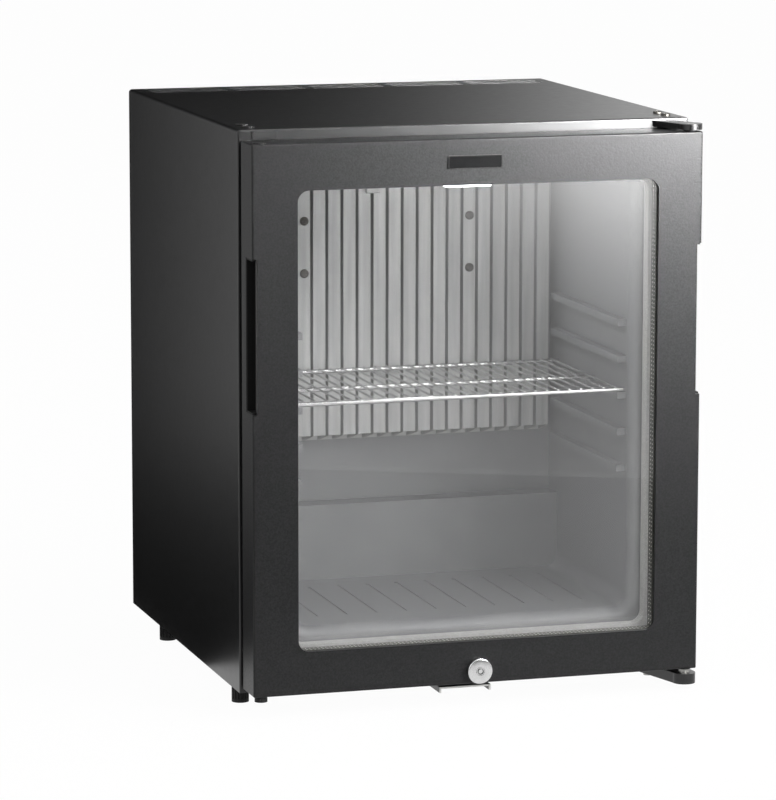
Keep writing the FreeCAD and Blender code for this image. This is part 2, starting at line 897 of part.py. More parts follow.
# Insulation: foam between the shell and the lining, with a plugged opening for the evaporator
def make_insulation_foam():
    body = new_body("insulation_foam")
    filling = rectangle("-inner_right", "inner_right", "base_top", "inner_top")
    add(body, "y", filling, "front + skin", "foam_back")
    round_edges(body, "fold_radius - skin", under_top_corners())
    mouth = rectangle("-mouth_right", "mouth_right", "mouth_bottom", "mouth_top")
    cut(body, "y", mouth, "front + skin - overrun", "liner_front")
    hollow = rectangle("-liner_right", "liner_right", "liner_bottom", "liner_top")
    cut(body, "y", hollow, "liner_front - overrun", "liner_back")
    outside = {"x": both("liner_right"), "z": [value("liner_bottom"), value("liner_top")]}
    round_edges(body, "liner_corner + liner_wall", runs("y", **outside))
    step = rectangle("-liner_right", "liner_right", "liner_bottom", "step_under")
    add(body, "y", step, "step_back", "liner_back")
    plug = rectangle("-plug_right", "plug_right", "plug_bottom", "plug_top")
    cut(body, "y", plug, "liner_back", "foam_back + overrun")
    hinge = [
        rectangle(*ordered(side, "arm_near", "arm_far"), "front + skin - overrun", "front + skin + arm_depth")
        for side in ("", "-")
    ]
    cut(body, "z", together(*hinge), "top_arm_low", "inner_top + overrun")
    wells = [circle(x, "foot_front_y", "foot_well") for x in mirrored_pair("foot_x")]
    wells += [circle(x, y, "foot_well") for x, y in underside_screw_centres()]
    cut(body, "z", together(*wells), "base_top - overrun", "base_top + screw_reach")
    screws = [screw_hole(x, z) for x, z in unit_screw_centres()]
    cut(body, "y", together(*screws), "foam_back - screw_reach", "foam_back + overrun")


# Rear bulkhead: the sheet that closes the foam towards the cooling unit
def make_rear_bulkhead():
    body = new_body("rear_bulkhead")
    sheet = rectangle("-inner_right", "inner_right", "base_top", "inner_top")
    add(body, "y", sheet, "foam_back", "bulkhead_back")
    round_edges(body, "fold_radius - skin", under_top_corners())
    plug = rectangle("-plug_right", "plug_right", "plug_bottom", "plug_top")
    cut(body, "y", plug, "foam_back - overrun", "bulkhead_back")
    screws = [screw_hole(x, z) for x, z in unit_screw_centres()]
    cut(body, "y", together(*screws), "foam_back - overrun", "bulkhead_back")


# Evaporator: a corrugated aluminium plate on the lining's back wall
def make_evaporator_fins():
    body = new_body("evaporator_fins")
    sides = ("-fin_right", "fin_right")
    add(body, "y", rectangle(*sides, "fin_bottom", "fin_top"), "cavity_back - fin_backing", "cavity_back")
    middle = "-fin_right + fin_pitch / 2"
    root = "cavity_back - fin_backing"
    hat = [
        (f"{middle} - fin_foot / 2", root),
        (f"{middle} - fin_face / 2", "fin_front"),
        (f"{middle} + fin_face / 2", "fin_front"),
        (f"{middle} + fin_foot / 2", root),
        (f"{middle} + fin_foot / 2 - fin_gauge", root),
        (f"{middle} + fin_face / 2 - fin_gauge", "fin_front + fin_gauge"),
        (f"{middle} - fin_face / 2 + fin_gauge", "fin_front + fin_gauge"),
        (f"{middle} - fin_foot / 2 + fin_gauge", root),
    ]
    first = add(body, "z", polygon(hat), "fin_bottom", "fin_top")
    repeat(body, first, "x", "fin_count", "(fin_count - 1) * fin_pitch")
    slope = [("fin_front - overrun", "fin_bottom - overrun"), (root, "fin_bottom - overrun"),
             (root, "fin_bottom"), ("fin_front - overrun", "fin_bottom + fin_bevel")]
    cut(body, "x", polygon(slope), "-fin_right - overrun", "fin_right + overrun")
    holes = [screw_hole(x, z) for x, z in fin_screw_centres()]
    cut(body, "y", together(*holes), "fin_front - overrun", "cavity_back")


def make_fin_screws():
    reach = "fin_reach + liner_wall + screw_reach"
    screws = [screw("y", centre, "fin_front", reach) for centre in fin_screw_centres()]
    keep_group(screws, "fin_screws")


# Evaporator plug: a foam block that fills the opening, with room for the tube behind the lining
def make_evaporator_plug():
    body = new_body("evaporator_plug")
    sides = ("-plug_right", "plug_right")
    add(body, "y", rectangle(*sides, "plug_bottom", "plug_top"), "liner_back", "bulkhead_back")
    room = "coolant_radius + recess_room"
    recess = rectangle(f"-evaporator_leg - ({room})", f"evaporator_right + {room}",
                       f"coolant_low - ({room})", f"coolant_high + {room}")
    cut(body, "y", recess, "liner_back", "recess_back")
    levels = ("coolant_high", "coolant_low")
    bores = [circle("-evaporator_leg", z, "coolant_radius + fit_slack") for z in levels]
    cut(body, "y", together(*bores), "recess_back", "bulkhead_back")
    screws = [screw_hole(x, z) for x, z in fin_screw_centres()]
    cut(body, "y", together(*screws), "liner_back", "liner_back + screw_reach")


def make_evaporator_tube():
    high, low, join = ("coolant_high", "coolant_low", "coolant_join")
    points = [
        spot("-evaporator_leg", join, high),
        spot("-evaporator_leg", "coolant_front", high),
        spot("evaporator_right", "coolant_front", high),
        spot("evaporator_right", "coolant_front", low),
        spot("-evaporator_leg", "coolant_front", low),
        spot("-evaporator_leg", join, low),
    ]
    bent_tube("evaporator_tube", points, value("coolant_bend"), value("coolant_radius"))


# Lamp under the ceiling of the lining, and the temperature sensor on the fins
def make_lamp():
    sides = ("lamp_offset - lamp_width / 2", "lamp_offset + lamp_width / 2")
    near_side, far_side = ("front + lamp_setback", "front + lamp_setback + lamp_depth")
    under = "cavity_top - lamp_height"
    housing = new_body("lamp_housing")
    add(housing, "z", rectangle(*sides, near_side, far_side), under, "cavity_top")
    seat = rectangle(f"{sides[0]} + diffuser_lip", f"{sides[1]} - diffuser_lip",
                     f"{near_side} + diffuser_lip", f"{far_side} - diffuser_lip")
    cut(housing, "z", seat, f"{under} - overrun", f"{under} + diffuser_height")
    diffuser = new_body("lamp_diffuser")
    add(diffuser, "z", seat, f"{under} - diffuser_height / 2", f"{under} + diffuser_height")


def make_sensor_clip():
    body = new_body("sensor_clip")
    middle = "-fin_pitch * 2"
    top = "fin_top - sensor_drop"
    plate = rectangle(f"{middle} - sensor_width / 2", f"{middle} + sensor_width / 2",
                      f"{top} - sensor_height", top)
    add(body, "y", plate, "fin_front - sensor_depth", "fin_front")
    round_edges(body, "fin_gauge", runs("x", y=[value("fin_front") - value("sensor_depth")]))


# Hinges: an arm runs out over or under the door to a round tip, and carries the pin
def add_tip(body, low, high):
    """The round end at the pivot, with its hole for the pin."""
    add(body, "z", circle("pivot_x", "pivot_y", "tip_radius"), low, high)
    cut(body, "z", circle("pivot_x", "pivot_y", "pin_radius + fit_slack"), low, high)


def make_hinges():
    top = new_body("top_hinge")
    plate = rectangle("arm_near", "arm_far", "front + skin", "front + skin + arm_depth")
    add(top, "z", plate, "top_arm_low", "inner_top")
    tongue = [
        ("slot_near", "front + skin"),
        ("pivot_x - tip_radius", "pivot_y"),
        ("pivot_x + tip_radius", "pivot_y"),
        ("slot_far", "door_back"),
        ("slot_far", "front + skin"),
    ]
    add(top, "z", polygon(tongue), "top_arm_low", "top_arm_high")
    add_tip(top, "top_arm_low", "top_arm_high")
    holes = [screw_hole(x, y) for x, y in top_screw_centres("arm_screw_x")]
    cut(top, "z", together(*holes), "top_arm_low", "inner_top")
    bottom = new_body("bottom_hinge")
    arm = [
        ("arm_near", "bottom_arm_end"),
        ("pivot_x - tip_radius", "pivot_y"),
        ("pivot_x + tip_radius", "pivot_y"),
        ("arm_far", "bottom_arm_end"),
    ]
    add(bottom, "z", polygon(arm), "bottom_arm_low", "shell_bottom")
    add_tip(bottom, "bottom_arm_low", "shell_bottom")
    holes = [screw_hole(x, y) for x, y in underside_screw_centres()[2:]]
    cut(bottom, "z", together(*holes), "bottom_arm_low", "shell_bottom")


def make_hinge_pins():
    pivot = ("pivot_x", "pivot_y")
    keep(rod("z", pivot, "pin_radius", "door_top - pin_reach", "top_arm_high"), "top_hinge_pin")
    pin = rod("z", pivot, "pin_radius", "bottom_arm_low", "door_bottom + pin_reach")
    washer_top = "door_bottom - bush_flange_height - seat_gap"
    shoulder = rod("z", pivot, "washer_radius", "shell_bottom", washer_top)
    keep(fuse([pin, shoulder]), "bottom_hinge_pin")


def top_screw(centre):
    """A screw from above, with a flat head on the top panel."""
    head = rod("z", centre, "screw_head", "shell_top", "shell_top + screw_head_height / 2")
    shank = rod("z", centre, "screw_shank", "top_arm_low", "shell_top")
    return fuse([head, shank])


def make_hinge_fasteners():
    screws = [top_screw(centre) for centre in top_screw_centres("arm_screw_x")]
    keep_group(screws, "top_hinge_screws")
    keeper, hinge = (underside_screw_centres()[:2], underside_screw_centres()[2:])
    reach = "base_gauge + screw_reach / 2"
    screws = [screw("z", centre, "keeper_low", f"keeper_gauge + {reach}") for centre in keeper]
    screws += [
        screw("z", centre, "bottom_arm_low", f"bottom_arm_gauge + {reach}") for centre in hinge
    ]
    keep_group(screws, "underside_screws")


def make_spare_hinge_covers():
    """The blank on the unused hinge slot, and the caps on its screw holes."""
    body = new_body("hinge_slot_cover")
    near_side, far_side = ("-slot_far", "-slot_near")
    outer = rectangle(f"{near_side} - cover_lap", f"{far_side} + cover_lap",
                      "top_arm_low - cover_lap", "top_arm_high + cover_lap")
    add(body, "y", outer, "front - cover_gauge", "front")
    inner = rectangle(near_side, far_side, "top_arm_low", "top_arm_high")
    add(body, "y", inner, "front", "front + skin")
    caps = []
    for centre in top_screw_centres("-arm_screw_x"):
        cap = rod("z", centre, "cap_radius", "shell_top", "shell_top + cap_height")
        stem = rod("z", centre, "screw_shank", "inner_top", "shell_top")
        caps.append(fuse([cap, stem]))
    keep_group(caps, "top_screw_caps")


# Door frame: a moulded front with side walls, a window and a notch for each grip
def make_door_frame():
    body = new_body("door_frame")
    block_outline = rectangle("-door_right", "door_right", "door_bottom", "door_top")
    add(body, "y", block_outline, "door_front", "door_back")
    outline = {"x": both("door_right"), "z": [value("door_bottom"), value("door_top")]}
    round_edges(body, "door_edge_round", runs("y", **outline))
    round_edges(body, "door_edge_round", flat_at("y", value("door_front")))
    hollow = rectangle("-shell_side", "shell_side", "shell_floor", "shell_ceiling")
    cut(body, "y", hollow, "panel_back", "door_back + overrun")
    window = rectangle("-window_right", "window_right", "window_bottom", "window_top")
    cut(body, "y", window, "door_front - overrun", "panel_back")
    corners = {"x": both("window_right"), "z": [value("window_bottom"), value("window_top")]}
    round_edges(body, "window_corner", runs("y", **corners))
    notches = [
        rectangle(*ordered(side, "door_right - grip_notch", "door_right + overrun"),
                  "grip_bottom", "grip_top")
        for side in ("-", "")
    ]
    cut(body, "y", together(*notches), "door_front - overrun", "grip_back")
    holes = [circle(x, "pivot_y", "bush_radius + fit_slack") for x in mirrored_pair("pivot_x")]
    cut(body, "z", together(*holes), "shell_ceiling", "door_top + overrun")
    cut(body, "z", together(*holes), "door_bottom - overrun", "shell_floor")
    lock_hole = circle("0", "lock_level", "barrel_radius + fit_slack")
    cut(body, "y", lock_hole, "door_front - overrun", "panel_back")
    cut(body, "z", cam_slot(), "door_bottom - overrun", "shell_floor")


def cam_slot():
    """The slot that the lock's cam swings down through, from the left."""
    return rectangle("-cam_reach", "cam_width / 2 + cam_room",
                     "cam_front - cam_room", "cam_back + cam_room")


# Inner frame: the light ring that closes the door's back and clamps the glass
def make_door_inner_frame():
    body = new_body("door_inner_frame")
    plate = rectangle("-shell_side", "shell_side", "shell_floor", "shell_ceiling")
    add(body, "y", plate, "frame_plate", "door_back")
    clamp = rectangle("-glass_right", "glass_right", "glass_bottom", "glass_top")
    add(body, "y", clamp, "glass_back", "frame_plate")
    sight = rectangle("-sight_right", "sight_right", "sight_bottom", "sight_top")
    cut(body, "y", sight, "glass_back - overrun", "door_back + overrun")
    corners = {"x": both("sight_right"), "z": [value("sight_bottom"), value("sight_top")]}
    round_edges(body, "window_corner", runs("y", **corners))


# Foam in the hollow of the door, with room for grips, hinge bushes, plugs and the lock
def make_door_foam():
    body = new_body("door_foam")
    filling = rectangle("-shell_side", "shell_side", "shell_floor", "shell_ceiling")
    add(body, "y", filling, "panel_back", "frame_plate")
    glass = rectangle("-glass_right", "glass_right", "glass_bottom", "glass_top")
    cut(body, "y", glass, "panel_back - overrun", "frame_plate + overrun")
    cup = ("door_right - grip_reach - grip_wall", "door_right + overrun")
    grips = [rectangle(*ordered(side, *cup), "grip_bottom", "grip_top") for side in ("-", "")]
    cut(body, "y", together(*grips), "panel_back - overrun", "grip_back")
    wells = [circle(x, "pivot_y", "bush_radius + fit_slack") for x in mirrored_pair("pivot_x")]
    cut(body, "z", together(*wells), "shell_ceiling - pin_reach", "shell_ceiling + overrun")
    cut(body, "z", together(*wells), "shell_floor - overrun", "shell_floor + pin_reach")
    room = rectangle("-cam_reach - cam_room", "lock_radius + cam_room",
                     "shell_floor - overrun", "lock_level + lock_radius + cam_room")
    cut(body, "y", room, "panel_back - overrun", "frame_plate + overrun")


# Double glazing: two panes with a hollow-looking aluminium spacer between them
def make_glazing():
    panes = {"outer_glass": ("panel_back", "spacer_front"), "inner_glass": ("spacer_back", "glass_back")}
    for label, faces in panes.items():
        pane = new_body(label)
        add(pane, "y", rectangle("-glass_right", "glass_right", "glass_bottom", "glass_top"), *faces)
    spacer = new_body("glass_spacer")
    outer = rectangle("-window_right - spacer_width", "window_right + spacer_width",
                      "window_bottom - spacer_width", "window_top + spacer_width")
    add(spacer, "y", outer, "spacer_front", "spacer_back")
    inner = rectangle("-window_right", "window_right", "window_bottom", "window_top")
    cut(spacer, "y", inner, "spacer_front - overrun", "spacer_back + overrun")


# Door gasket: a soft ring that closes against the steel flange, with magnets in its groove
def ring(body, inset, width, near, far):
    outer = [f"gasket_right - ({inset})", f"gasket_bottom + ({inset})", f"gasket_top - ({inset})"]
    inner = [f"{outer[0]} - ({width})", f"{outer[1]} + ({width})", f"{outer[2]} - ({width})"]
    add(body, "y", rectangle(f"-({outer[0]})", *outer), near, far)
    cut(body, "y", rectangle(f"-({inner[0]})", *inner), f"{near} - overrun", f"{far} + overrun")


def make_door_gasket():
    gasket = new_body("door_gasket")
    ring(gasket, "0", "gasket_width", "door_back", "gasket_back")
    side = "(gasket_width - magnet_width) / 2"
    upright = ("gasket_bottom + gasket_width", "gasket_top - gasket_width")
    flat = ("-gasket_right + gasket_width", "gasket_right - gasket_width")
    depth = ("door_back", "door_back + magnet_depth")
    spans = [
        ((f"-gasket_right + {side}", f"-gasket_right + {side} + magnet_width"), upright),
        ((f"gasket_right - {side} - magnet_width", f"gasket_right - {side}"), upright),
        (flat, (f"gasket_bottom + {side}", f"gasket_bottom + {side} + magnet_width")),
        (flat, (f"gasket_top - {side} - magnet_width", f"gasket_top - {side}")),
    ]
    grooves = [rectangle(*across, *along) for across, along in spans]
    cut(gasket, "y", together(*grooves), "door_back - overrun", depth[1])
    keep_group([block(across, depth, along) for across, along in spans], "gasket_magnets")


# Badge plate, bare, on the top rail
def make_badge_plate():
    body = new_body("badge_plate")
    sides = ("badge_offset - badge_width / 2", "badge_offset + badge_width / 2")
    tall = ("badge_level - badge_height / 2", "badge_level + badge_height / 2")
    add(body, "y", rectangle(*sides, *tall), "door_front - badge_gauge", "door_front")
    round_edges(body, "badge_corner", runs("y"))
    face = value("door_front") - value("badge_gauge")
    round_edges(body, "badge_gauge / 2", flat_at("y", face))


# Grip inserts: dark cups set in the door's edges, open to the side
def make_grip_inserts():
    for label, sign in (("grip_insert_left", "-"), ("grip_insert_right", "")):
        body = new_body(label)
        inner = "door_right - grip_reach - grip_wall"
        outer = "door_right - grip_inset"
        tall = ("grip_bottom", "grip_top")
        add(body, "y", rectangle(*ordered(sign, inner, outer), *tall), "panel_back", "grip_back")
        hollow = ordered(sign, "door_right - grip_reach", "door_right + overrun")
        high = ("grip_bottom + grip_wall", "grip_top - grip_wall")
        cut(body, "y", rectangle(*hollow, *high), "panel_back + grip_wall", "grip_back - grip_wall")
        lip = ordered(sign, "door_right - grip_notch", "door_right + overrun")
        cut(body, "y", rectangle(*lip, *high), "panel_back - overrun", "panel_back + grip_wall + overrun")


def ordered(sign, near, far):
    """A span on the right-hand side, or its mirror image."""
    return (f"-({far})", f"-({near})") if sign else (near, far)


# Hinge bushes on the right of the door, and plugs in the unused holes on the left
def make_bushes_and_plugs():
    pivot = ("pivot_x", "pivot_y")
    spare = ("-pivot_x", "pivot_y")
    bore = "pin_radius + running_clearance"
    upper = ("shell_ceiling - pin_reach", "door_top")
    lower = ("door_bottom", "shell_floor + pin_reach")
    over = ("door_top", "door_top + bush_flange_height")
    under = ("door_bottom - bush_flange_height", "door_bottom")
    for label, stem, flange in (("top_hinge_bush", upper, over), ("bottom_hinge_bush", lower, under)):
        solid = fuse([rod("z", pivot, "bush_radius", *stem), rod("z", pivot, "bush_flange", *flange)])
        ends = (stem[0], flange[1]) if stem is upper else (flange[0], stem[1])
        through = rod("z", pivot, bore, f"{ends[0]} - overrun", f"{ends[1]} + overrun")
        keep(carve(solid, [through]), label)
    plugs = [
        fuse([rod("z", spare, "bush_radius", *upper),
              rod("z", spare, "cap_radius", "door_top", "door_top + cap_height")]),
        fuse([rod("z", spare, "bush_radius", *lower),
              rod("z", spare, "cap_radius", "door_bottom - bottom_plug_height", "door_bottom")]),
    ]
    keep_group(plugs, "hinge_hole_plugs")


# Lock: a barrel in the door's bottom rail, with a turning core and cam
def make_lock():
    axis = ("0", "lock_level")
    head = rod("y", axis, "lock_radius", "lock_face", "door_front")
    barrel = rod("y", axis, "barrel_radius", "door_front", "barrel_end")
    nose_end = "lock_face + nose_length"
    mouth = rod("y", axis, "nose_radius + running_clearance", "lock_face - overrun", f"{nose_end} + overrun")
    channel = rod("y", axis, "core_radius + running_clearance", nose_end, "barrel_end + overrun")
    keep(carve(fuse([head, barrel]), [mouth, channel]), "lock_barrel")
    nut = rod("y", axis, "nut_radius", "panel_back", "panel_back + nut_height")
    thread = rod("y", axis, "barrel_radius + fit_slack", "panel_back - overrun",
                 "panel_back + nut_height + overrun")
    keep(carve(nut, [thread]), "lock_nut")
    core_start = f"{nose_end} + running_clearance"
    nose = rod("y", axis, "nose_radius", "lock_face", f"{core_start} + overrun")
    core = rod("y", axis, "core_radius", core_start, "cam_front")
    keyway = ("lock_face - overrun", "lock_face + key_depth")
    key = carve(rod("y", axis, "key_outer", *keyway), [rod("y", axis, "key_inner", *keyway)])
    keep(carve(fuse([nose, core]), [key]), "lock_core")


def make_lock_cam():
    cam = new_body("lock_cam")
    half = "cam_width / 2"
    tip = f"-(cam_reach - {half})"
    bar = rectangle(tip, "0", f"lock_level - {half}", f"lock_level + {half}")
    add(cam, "y", bar, "cam_front", "cam_back")
    for end in ("0", tip):
        add(cam, "y", circle(end, "lock_level", half), "cam_front", "cam_back")


# Keeper: a channel under the cabinet's front that the cam locks into
def make_lock_keeper():
    body = new_body("lock_keeper")
    plate = rectangle("keeper_left", "keeper_right", "keeper_front", "keeper_end")
    add(body, "z", plate, "keeper_low", "shell_bottom")
    sides = (("keeper_left", "keeper_left + keeper_gauge"), ("keeper_right - keeper_gauge", "keeper_right"))
    for left, right in sides:
        wall = rectangle(left, right, "keeper_front", "keeper_end")
        add(body, "z", wall, "shell_bottom - keeper_flange", "keeper_low + keeper_gauge")
    cut(body, "z", cam_slot(), "keeper_low - overrun", "shell_bottom")
    holes = [screw_hole(x, y) for x, y in underside_screw_centres()[:2]]
    cut(body, "z", together(*holes), "keeper_low", "shell_bottom")


# Wire shelf: plated wires on three cross rails, resting on a pair of ledges
def make_wire_shelf():
    body = new_body("wire_shelf")
    rail = circle("shelf_front", "shelf_level", "rail_radius")
    add(body, "x", rail, "-shelf_right", "shelf_right")
    lift = "shelf_level + rail_radius"
    wire = add(body, "y", circle("-wire_right", lift, "wire_radius"), "shelf_front", "shelf_end")
    repeat(body, wire, "x", "wire_count", "2 * wire_right")
    for place in ("shelf_middle", "shelf_end"):
        add(body, "x", circle(place, "shelf_level", "rail_radius"), "-shelf_right", "shelf_right")


# Levelling feet: ribbed so that they can be turned by hand
def make_feet():
    names = ("foot_front_left", "foot_front_right", "foot_rear_left", "foot_rear_right")
    for label, (x, y) in zip(names, foot_centres()):
        body = new_body(label)
        add(body, "z", circle("0", "0", "foot_radius"), "0", "foot_height - seat_gap")
        groove = circle("foot_radius", "0", "foot_rib_depth")
        rib = cut(body, "z", groove, "foot_skirt", "foot_height - seat_gap + overrun")
        turned(body, rib, "foot_rib_count")
        stem = circle("0", "0", "foot_stem_radius")
        add(body, "z", stem, "foot_height / 2", "foot_height + foot_stem_reach")
        set_place(body, x, y, "0")


# Cooling unit: vessel, absorber, boiler with its heater, condenser and their pipes
def make_vessel_and_boiler():
    vessel = new_body("absorber_vessel")
    add(vessel, "x", circle("unit_line", "vessel_level", "vessel_radius"), "vessel_start", "vessel_end")
    round_edges(vessel, "vessel_round", flat_at("x", value("vessel_start"), value("vessel_end")))
    add(vessel, "z", circle("stub_x", "unit_line", "stub_radius"), "vessel_level", "stub_top")
    centre = ("boiler_x", "unit_line")
    keep(rod("z", centre, "boiler_radius", "boiler_low", "boiler_high"), "boiler_tube")
    jacket = new_body("boiler_jacket")
    add(jacket, "z", circle(*centre, "jacket_radius"), "jacket_low", "jacket_high")
    bore = circle(*centre, "boiler_radius + fit_slack")
    cut(jacket, "z", bore, "jacket_low - overrun", "jacket_high + overrun")
    heater = ("heater_x", "unit_line")
    heater_top = "jacket_low + heater_height"
    cut(jacket, "z", circle(*heater, "heater_radius + fit_slack"), "jacket_low - overrun", heater_top)
    keep(rod("z", heater, "heater_radius", "jacket_low - heater_tail", heater_top), "heater_cartridge")


def make_pipes():
    bend, radius = (value("coolant_bend"), value("coolant_radius"))
    line = "unit_line"
    feed = [
        spot("vessel_end", line, "vessel_level"),
        spot("boiler_x", line, "vessel_level"),
        spot("boiler_x", line, "boiler_low"),
    ]
    bent_tube("liquid_pipe", feed, value("feed_bend"), radius)
    hot = [
        spot("boiler_x", line, "boiler_high"),
        spot("boiler_x", line, "coolant_high"),
        spot("-evaporator_leg", line, "coolant_high"),
        spot("-evaporator_leg", "coolant_join", "coolant_high"),
    ]
    bent_tube("condenser_pipe", hot, bend, radius)
    bent_tube("absorber_coil", absorber_route(), bend, radius)


def absorber_route():
    """From the evaporator down to the vessel, to and fro."""
    route = [
        spot("-evaporator_leg", "coolant_join", "coolant_low"),
        spot("-evaporator_leg", "unit_line", "coolant_low"),
    ]
    level, y = (value("coolant_low"), value("unit_line"))
    for turn in range(int(value("absorber_runs"))):
        side = value("coil_right") if turn % 2 else value("coil_left")
        route.append(Vector(side, y, level))
        level -= value("absorber_pitch")
        route.append(Vector(side, y, level))
    return route + [Vector(value("stub_x"), y, level), spot("stub_x", "unit_line", "stub_top")]


def make_condenser_fins():
    """Thin plates in a row along the condenser's pipe, each with its own hole."""
    sides = ("condenser_fin_gauge", "condenser_fin_depth", "condenser_fin_height")
    size = Vector(*[value(side) for side in sides])
    hole_radius = value("coolant_radius") + value("fit_slack")
    line, level = (value("unit_line"), value("coolant_high"))
    first = value("condenser_fin_start") - value("evaporator_leg")
    plates = []
    for place in range(int(value("condenser_fin_count"))):
        x = first + place * value("condenser_fin_pitch")
        corner = Vector(x, line - size.y / 2, level - size.z / 2)
        plate = Part.makeBox(size.x, size.y, size.z, corner)
        hole = Part.makeCylinder(hole_radius, size.x, Vector(x, line, level), FACING["x"])
        plates.append(plate.cut(hole))
    fins = doc.addObject("Part::Feature", "condenser_fins")
    fins.Shape = Part.makeCompound(plates)
    keep(fins, "condenser_fins")


# Brackets that carry the vessel from the bulkhead
def bracket_centres():
    middle = "(vessel_start + vessel_end) / 2"
    return [f"{middle} {sign} bracket_spread" for sign in "-+"]


def unit_screw_centres():
    rise = "vessel_level + bracket_foot / 2 + bracket_screw_rise"
    return [(x, rise) for x in bracket_centres()]


def make_unit_brackets():
    front, seat = ("bulkhead_back", "bulkhead_back + bracket_gauge")
    under = "vessel_level - bracket_gauge"
    brackets = []
    screws = []
    for x, z in unit_screw_centres():
        sides = (f"{x} - bracket_width / 2", f"{x} + bracket_width / 2")
        foot = block(sides, (front, seat), (under, "vessel_level + bracket_foot + bracket_screw_rise"))
        arm = block(sides, (front, "unit_line"), (under, "vessel_level + bracket_gauge"))
        saddle = rod("x", ("unit_line", "vessel_level"), "vessel_radius + fit_slack",
                     "vessel_start - overrun", "vessel_end + overrun")
        hole = rod("y", (x, z), "screw_shank + fit_slack", f"{front} - overrun", f"{seat} + overrun")
        brackets.append(carve(fuse([foot, arm]), [saddle, hole]))
        head = rod("y", (x, z), "screw_head", seat, f"{seat} + screw_head_height")
        shank = rod("y", (x, z), "screw_shank", "foam_back - screw_reach", seat)
        screws.append(fuse([head, shank]))
    keep_group(brackets, "unit_brackets")
    keep_group(screws, "unit_screws")


# Control box on the bulkhead, with its cover, thermostat, knob and cord gland
def make_control_box():
    outline = rectangle("box_left", "box_right", "box_low", "box_high")
    corners = {"x": [value("box_left"), value("box_right")], "z": [value("box_low"), value("box_high")]}
    body = new_body("control_box")
    add(body, "y", outline, "bulkhead_back", "box_back")
    round_edges(body, "box_corner", runs("y", **corners))
    inside = rectangle("box_left + box_wall", "box_right - box_wall",
                       "box_low + box_wall", "box_high - box_wall")
    cut(body, "y", inside, "bulkhead_back + box_wall", "box_back + overrun")
    gland_hole = circle("knob_x", "gland_y", "gland_bore")
    cut(body, "z", gland_hole, "box_low - overrun", "box_low + box_wall")
    shaft_hole = circle("knob_x", "knob_z", "knob_shaft + running_clearance")
    cover = new_body("control_box_cover")
    add(cover, "y", outline, "box_back", "cover_back")
    round_edges(cover, "box_corner", runs("y", **corners))
    cut(cover, "y", shaft_hole, "box_back - overrun", "cover_back")
    half = "thermostat_size / 2"
    thermostat = new_body("thermostat_body")
    case = rectangle(f"knob_x - {half}", f"knob_x + {half}", f"knob_z - {half}", f"knob_z + {half}")
    add(thermostat, "y", case, "box_back - thermostat_depth", "box_back")
    cut(thermostat, "y", shaft_hole, "box_back - thermostat_depth / 2", "box_back + overrun")


def make_knob_and_gland():
    knob = new_body("thermostat_knob")
    knob_top = "knob_gap + knob_height"
    add(knob, "z", circle("0", "0", "knob_radius"), "knob_gap", knob_top)
    groove = circle("knob_radius", "0", "knob_flute")
    flute = cut(knob, "z", groove, "knob_gap * 2", f"{knob_top} + overrun")
    turned(knob, flute, "knob_flute_count")
    shaft = circle("0", "0", "knob_shaft")
    add(knob, "z", shaft, "-box_wall - knob_shaft_reach", "knob_gap * 2")
    pointer = rectangle("-knob_flute / 2", "knob_flute / 2", "pointer_start", "knob_radius - knob_flute * 2")
    cut(knob, "z", pointer, "knob_height", f"{knob_top} + overrun")
    knob.Placement = FreeCAD.Placement(Vector(), FreeCAD.Rotation(FACING["z"], FACING["y"]))
    set_place(knob, "knob_x", "cover_back", "knob_z")
    centre = ("knob_x", "gland_y")
    gland = rod("z", centre, "gland_radius", "box_low - gland_height", "box_low")
    bore = rod("z", centre, "gland_bore", "box_low - gland_height - overrun", "box_low + overrun")
    keep(carve(gland, [bore]), "cord_gland")


def make_cabinet():
    make_outer_shell()
    make_base_plate()
    make_mouth_frame()
    make_inner_liner()
    make_insulation_foam()
    make_rear_bulkhead()
    make_evaporator_fins()
    make_fin_screws()
    make_evaporator_plug()
    make_evaporator_tube()
    make_lamp()
    make_sensor_clip()
    make_hinges()
    make_hinge_pins()
    make_hinge_fasteners()
    make_spare_hinge_covers()
    make_lock_keeper()
    make_wire_shelf()
    make_feet()


def make_door():
    make_door_frame()
    make_door_inner_frame()
    make_door_foam()
    make_glazing()
    make_door_gasket()
    make_badge_plate()
    make_grip_inserts()
    make_bushes_and_plugs()
    make_lock()
    make_lock_cam()


def make_cooling_unit():
    make_vessel_and_boiler()
    make_pipes()
    make_condenser_fins()
    make_unit_brackets()
    make_control_box()
    make_knob_and_gland()


def write_parts():
    """Check the whole document, then write one file for each sub-part."""
    doc.recompute()
    failed = [item.Label for item in doc.Objects if {"Invalid", "Error"} & set(item.State)]
    failed += [node.Label for node in NODES if node.Shape.isNull() or not node.Shape.isValid()]
    if failed:
        raise RuntimeError(f"not sound: {failed}")
    os.makedirs("parts", exist_ok=True)
    for node in NODES:
        node.Shape.exportStep(f"parts/{node.Label}.step")
        print(node.Label, len(node.Shape.Solids), "solids", round(node.Shape.Volume), "cubic mm")
    print(len(NODES), "sub-parts")


make_cabinet()
make_door()
make_cooling_unit()
write_parts()
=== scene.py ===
# %% [markdown]
# # A minibar fridge with a glass door
# The solids of this fridge come from its CAD model, and each one already sits where it belongs. This lesson
# dresses them: every part gets the finish of its real material, the small pieces that catch the eye are
# modelled again with softer edges, and a plain studio and a camera show the result.

# %% Load the frame
import math

import bpy
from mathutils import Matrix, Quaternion, Vector


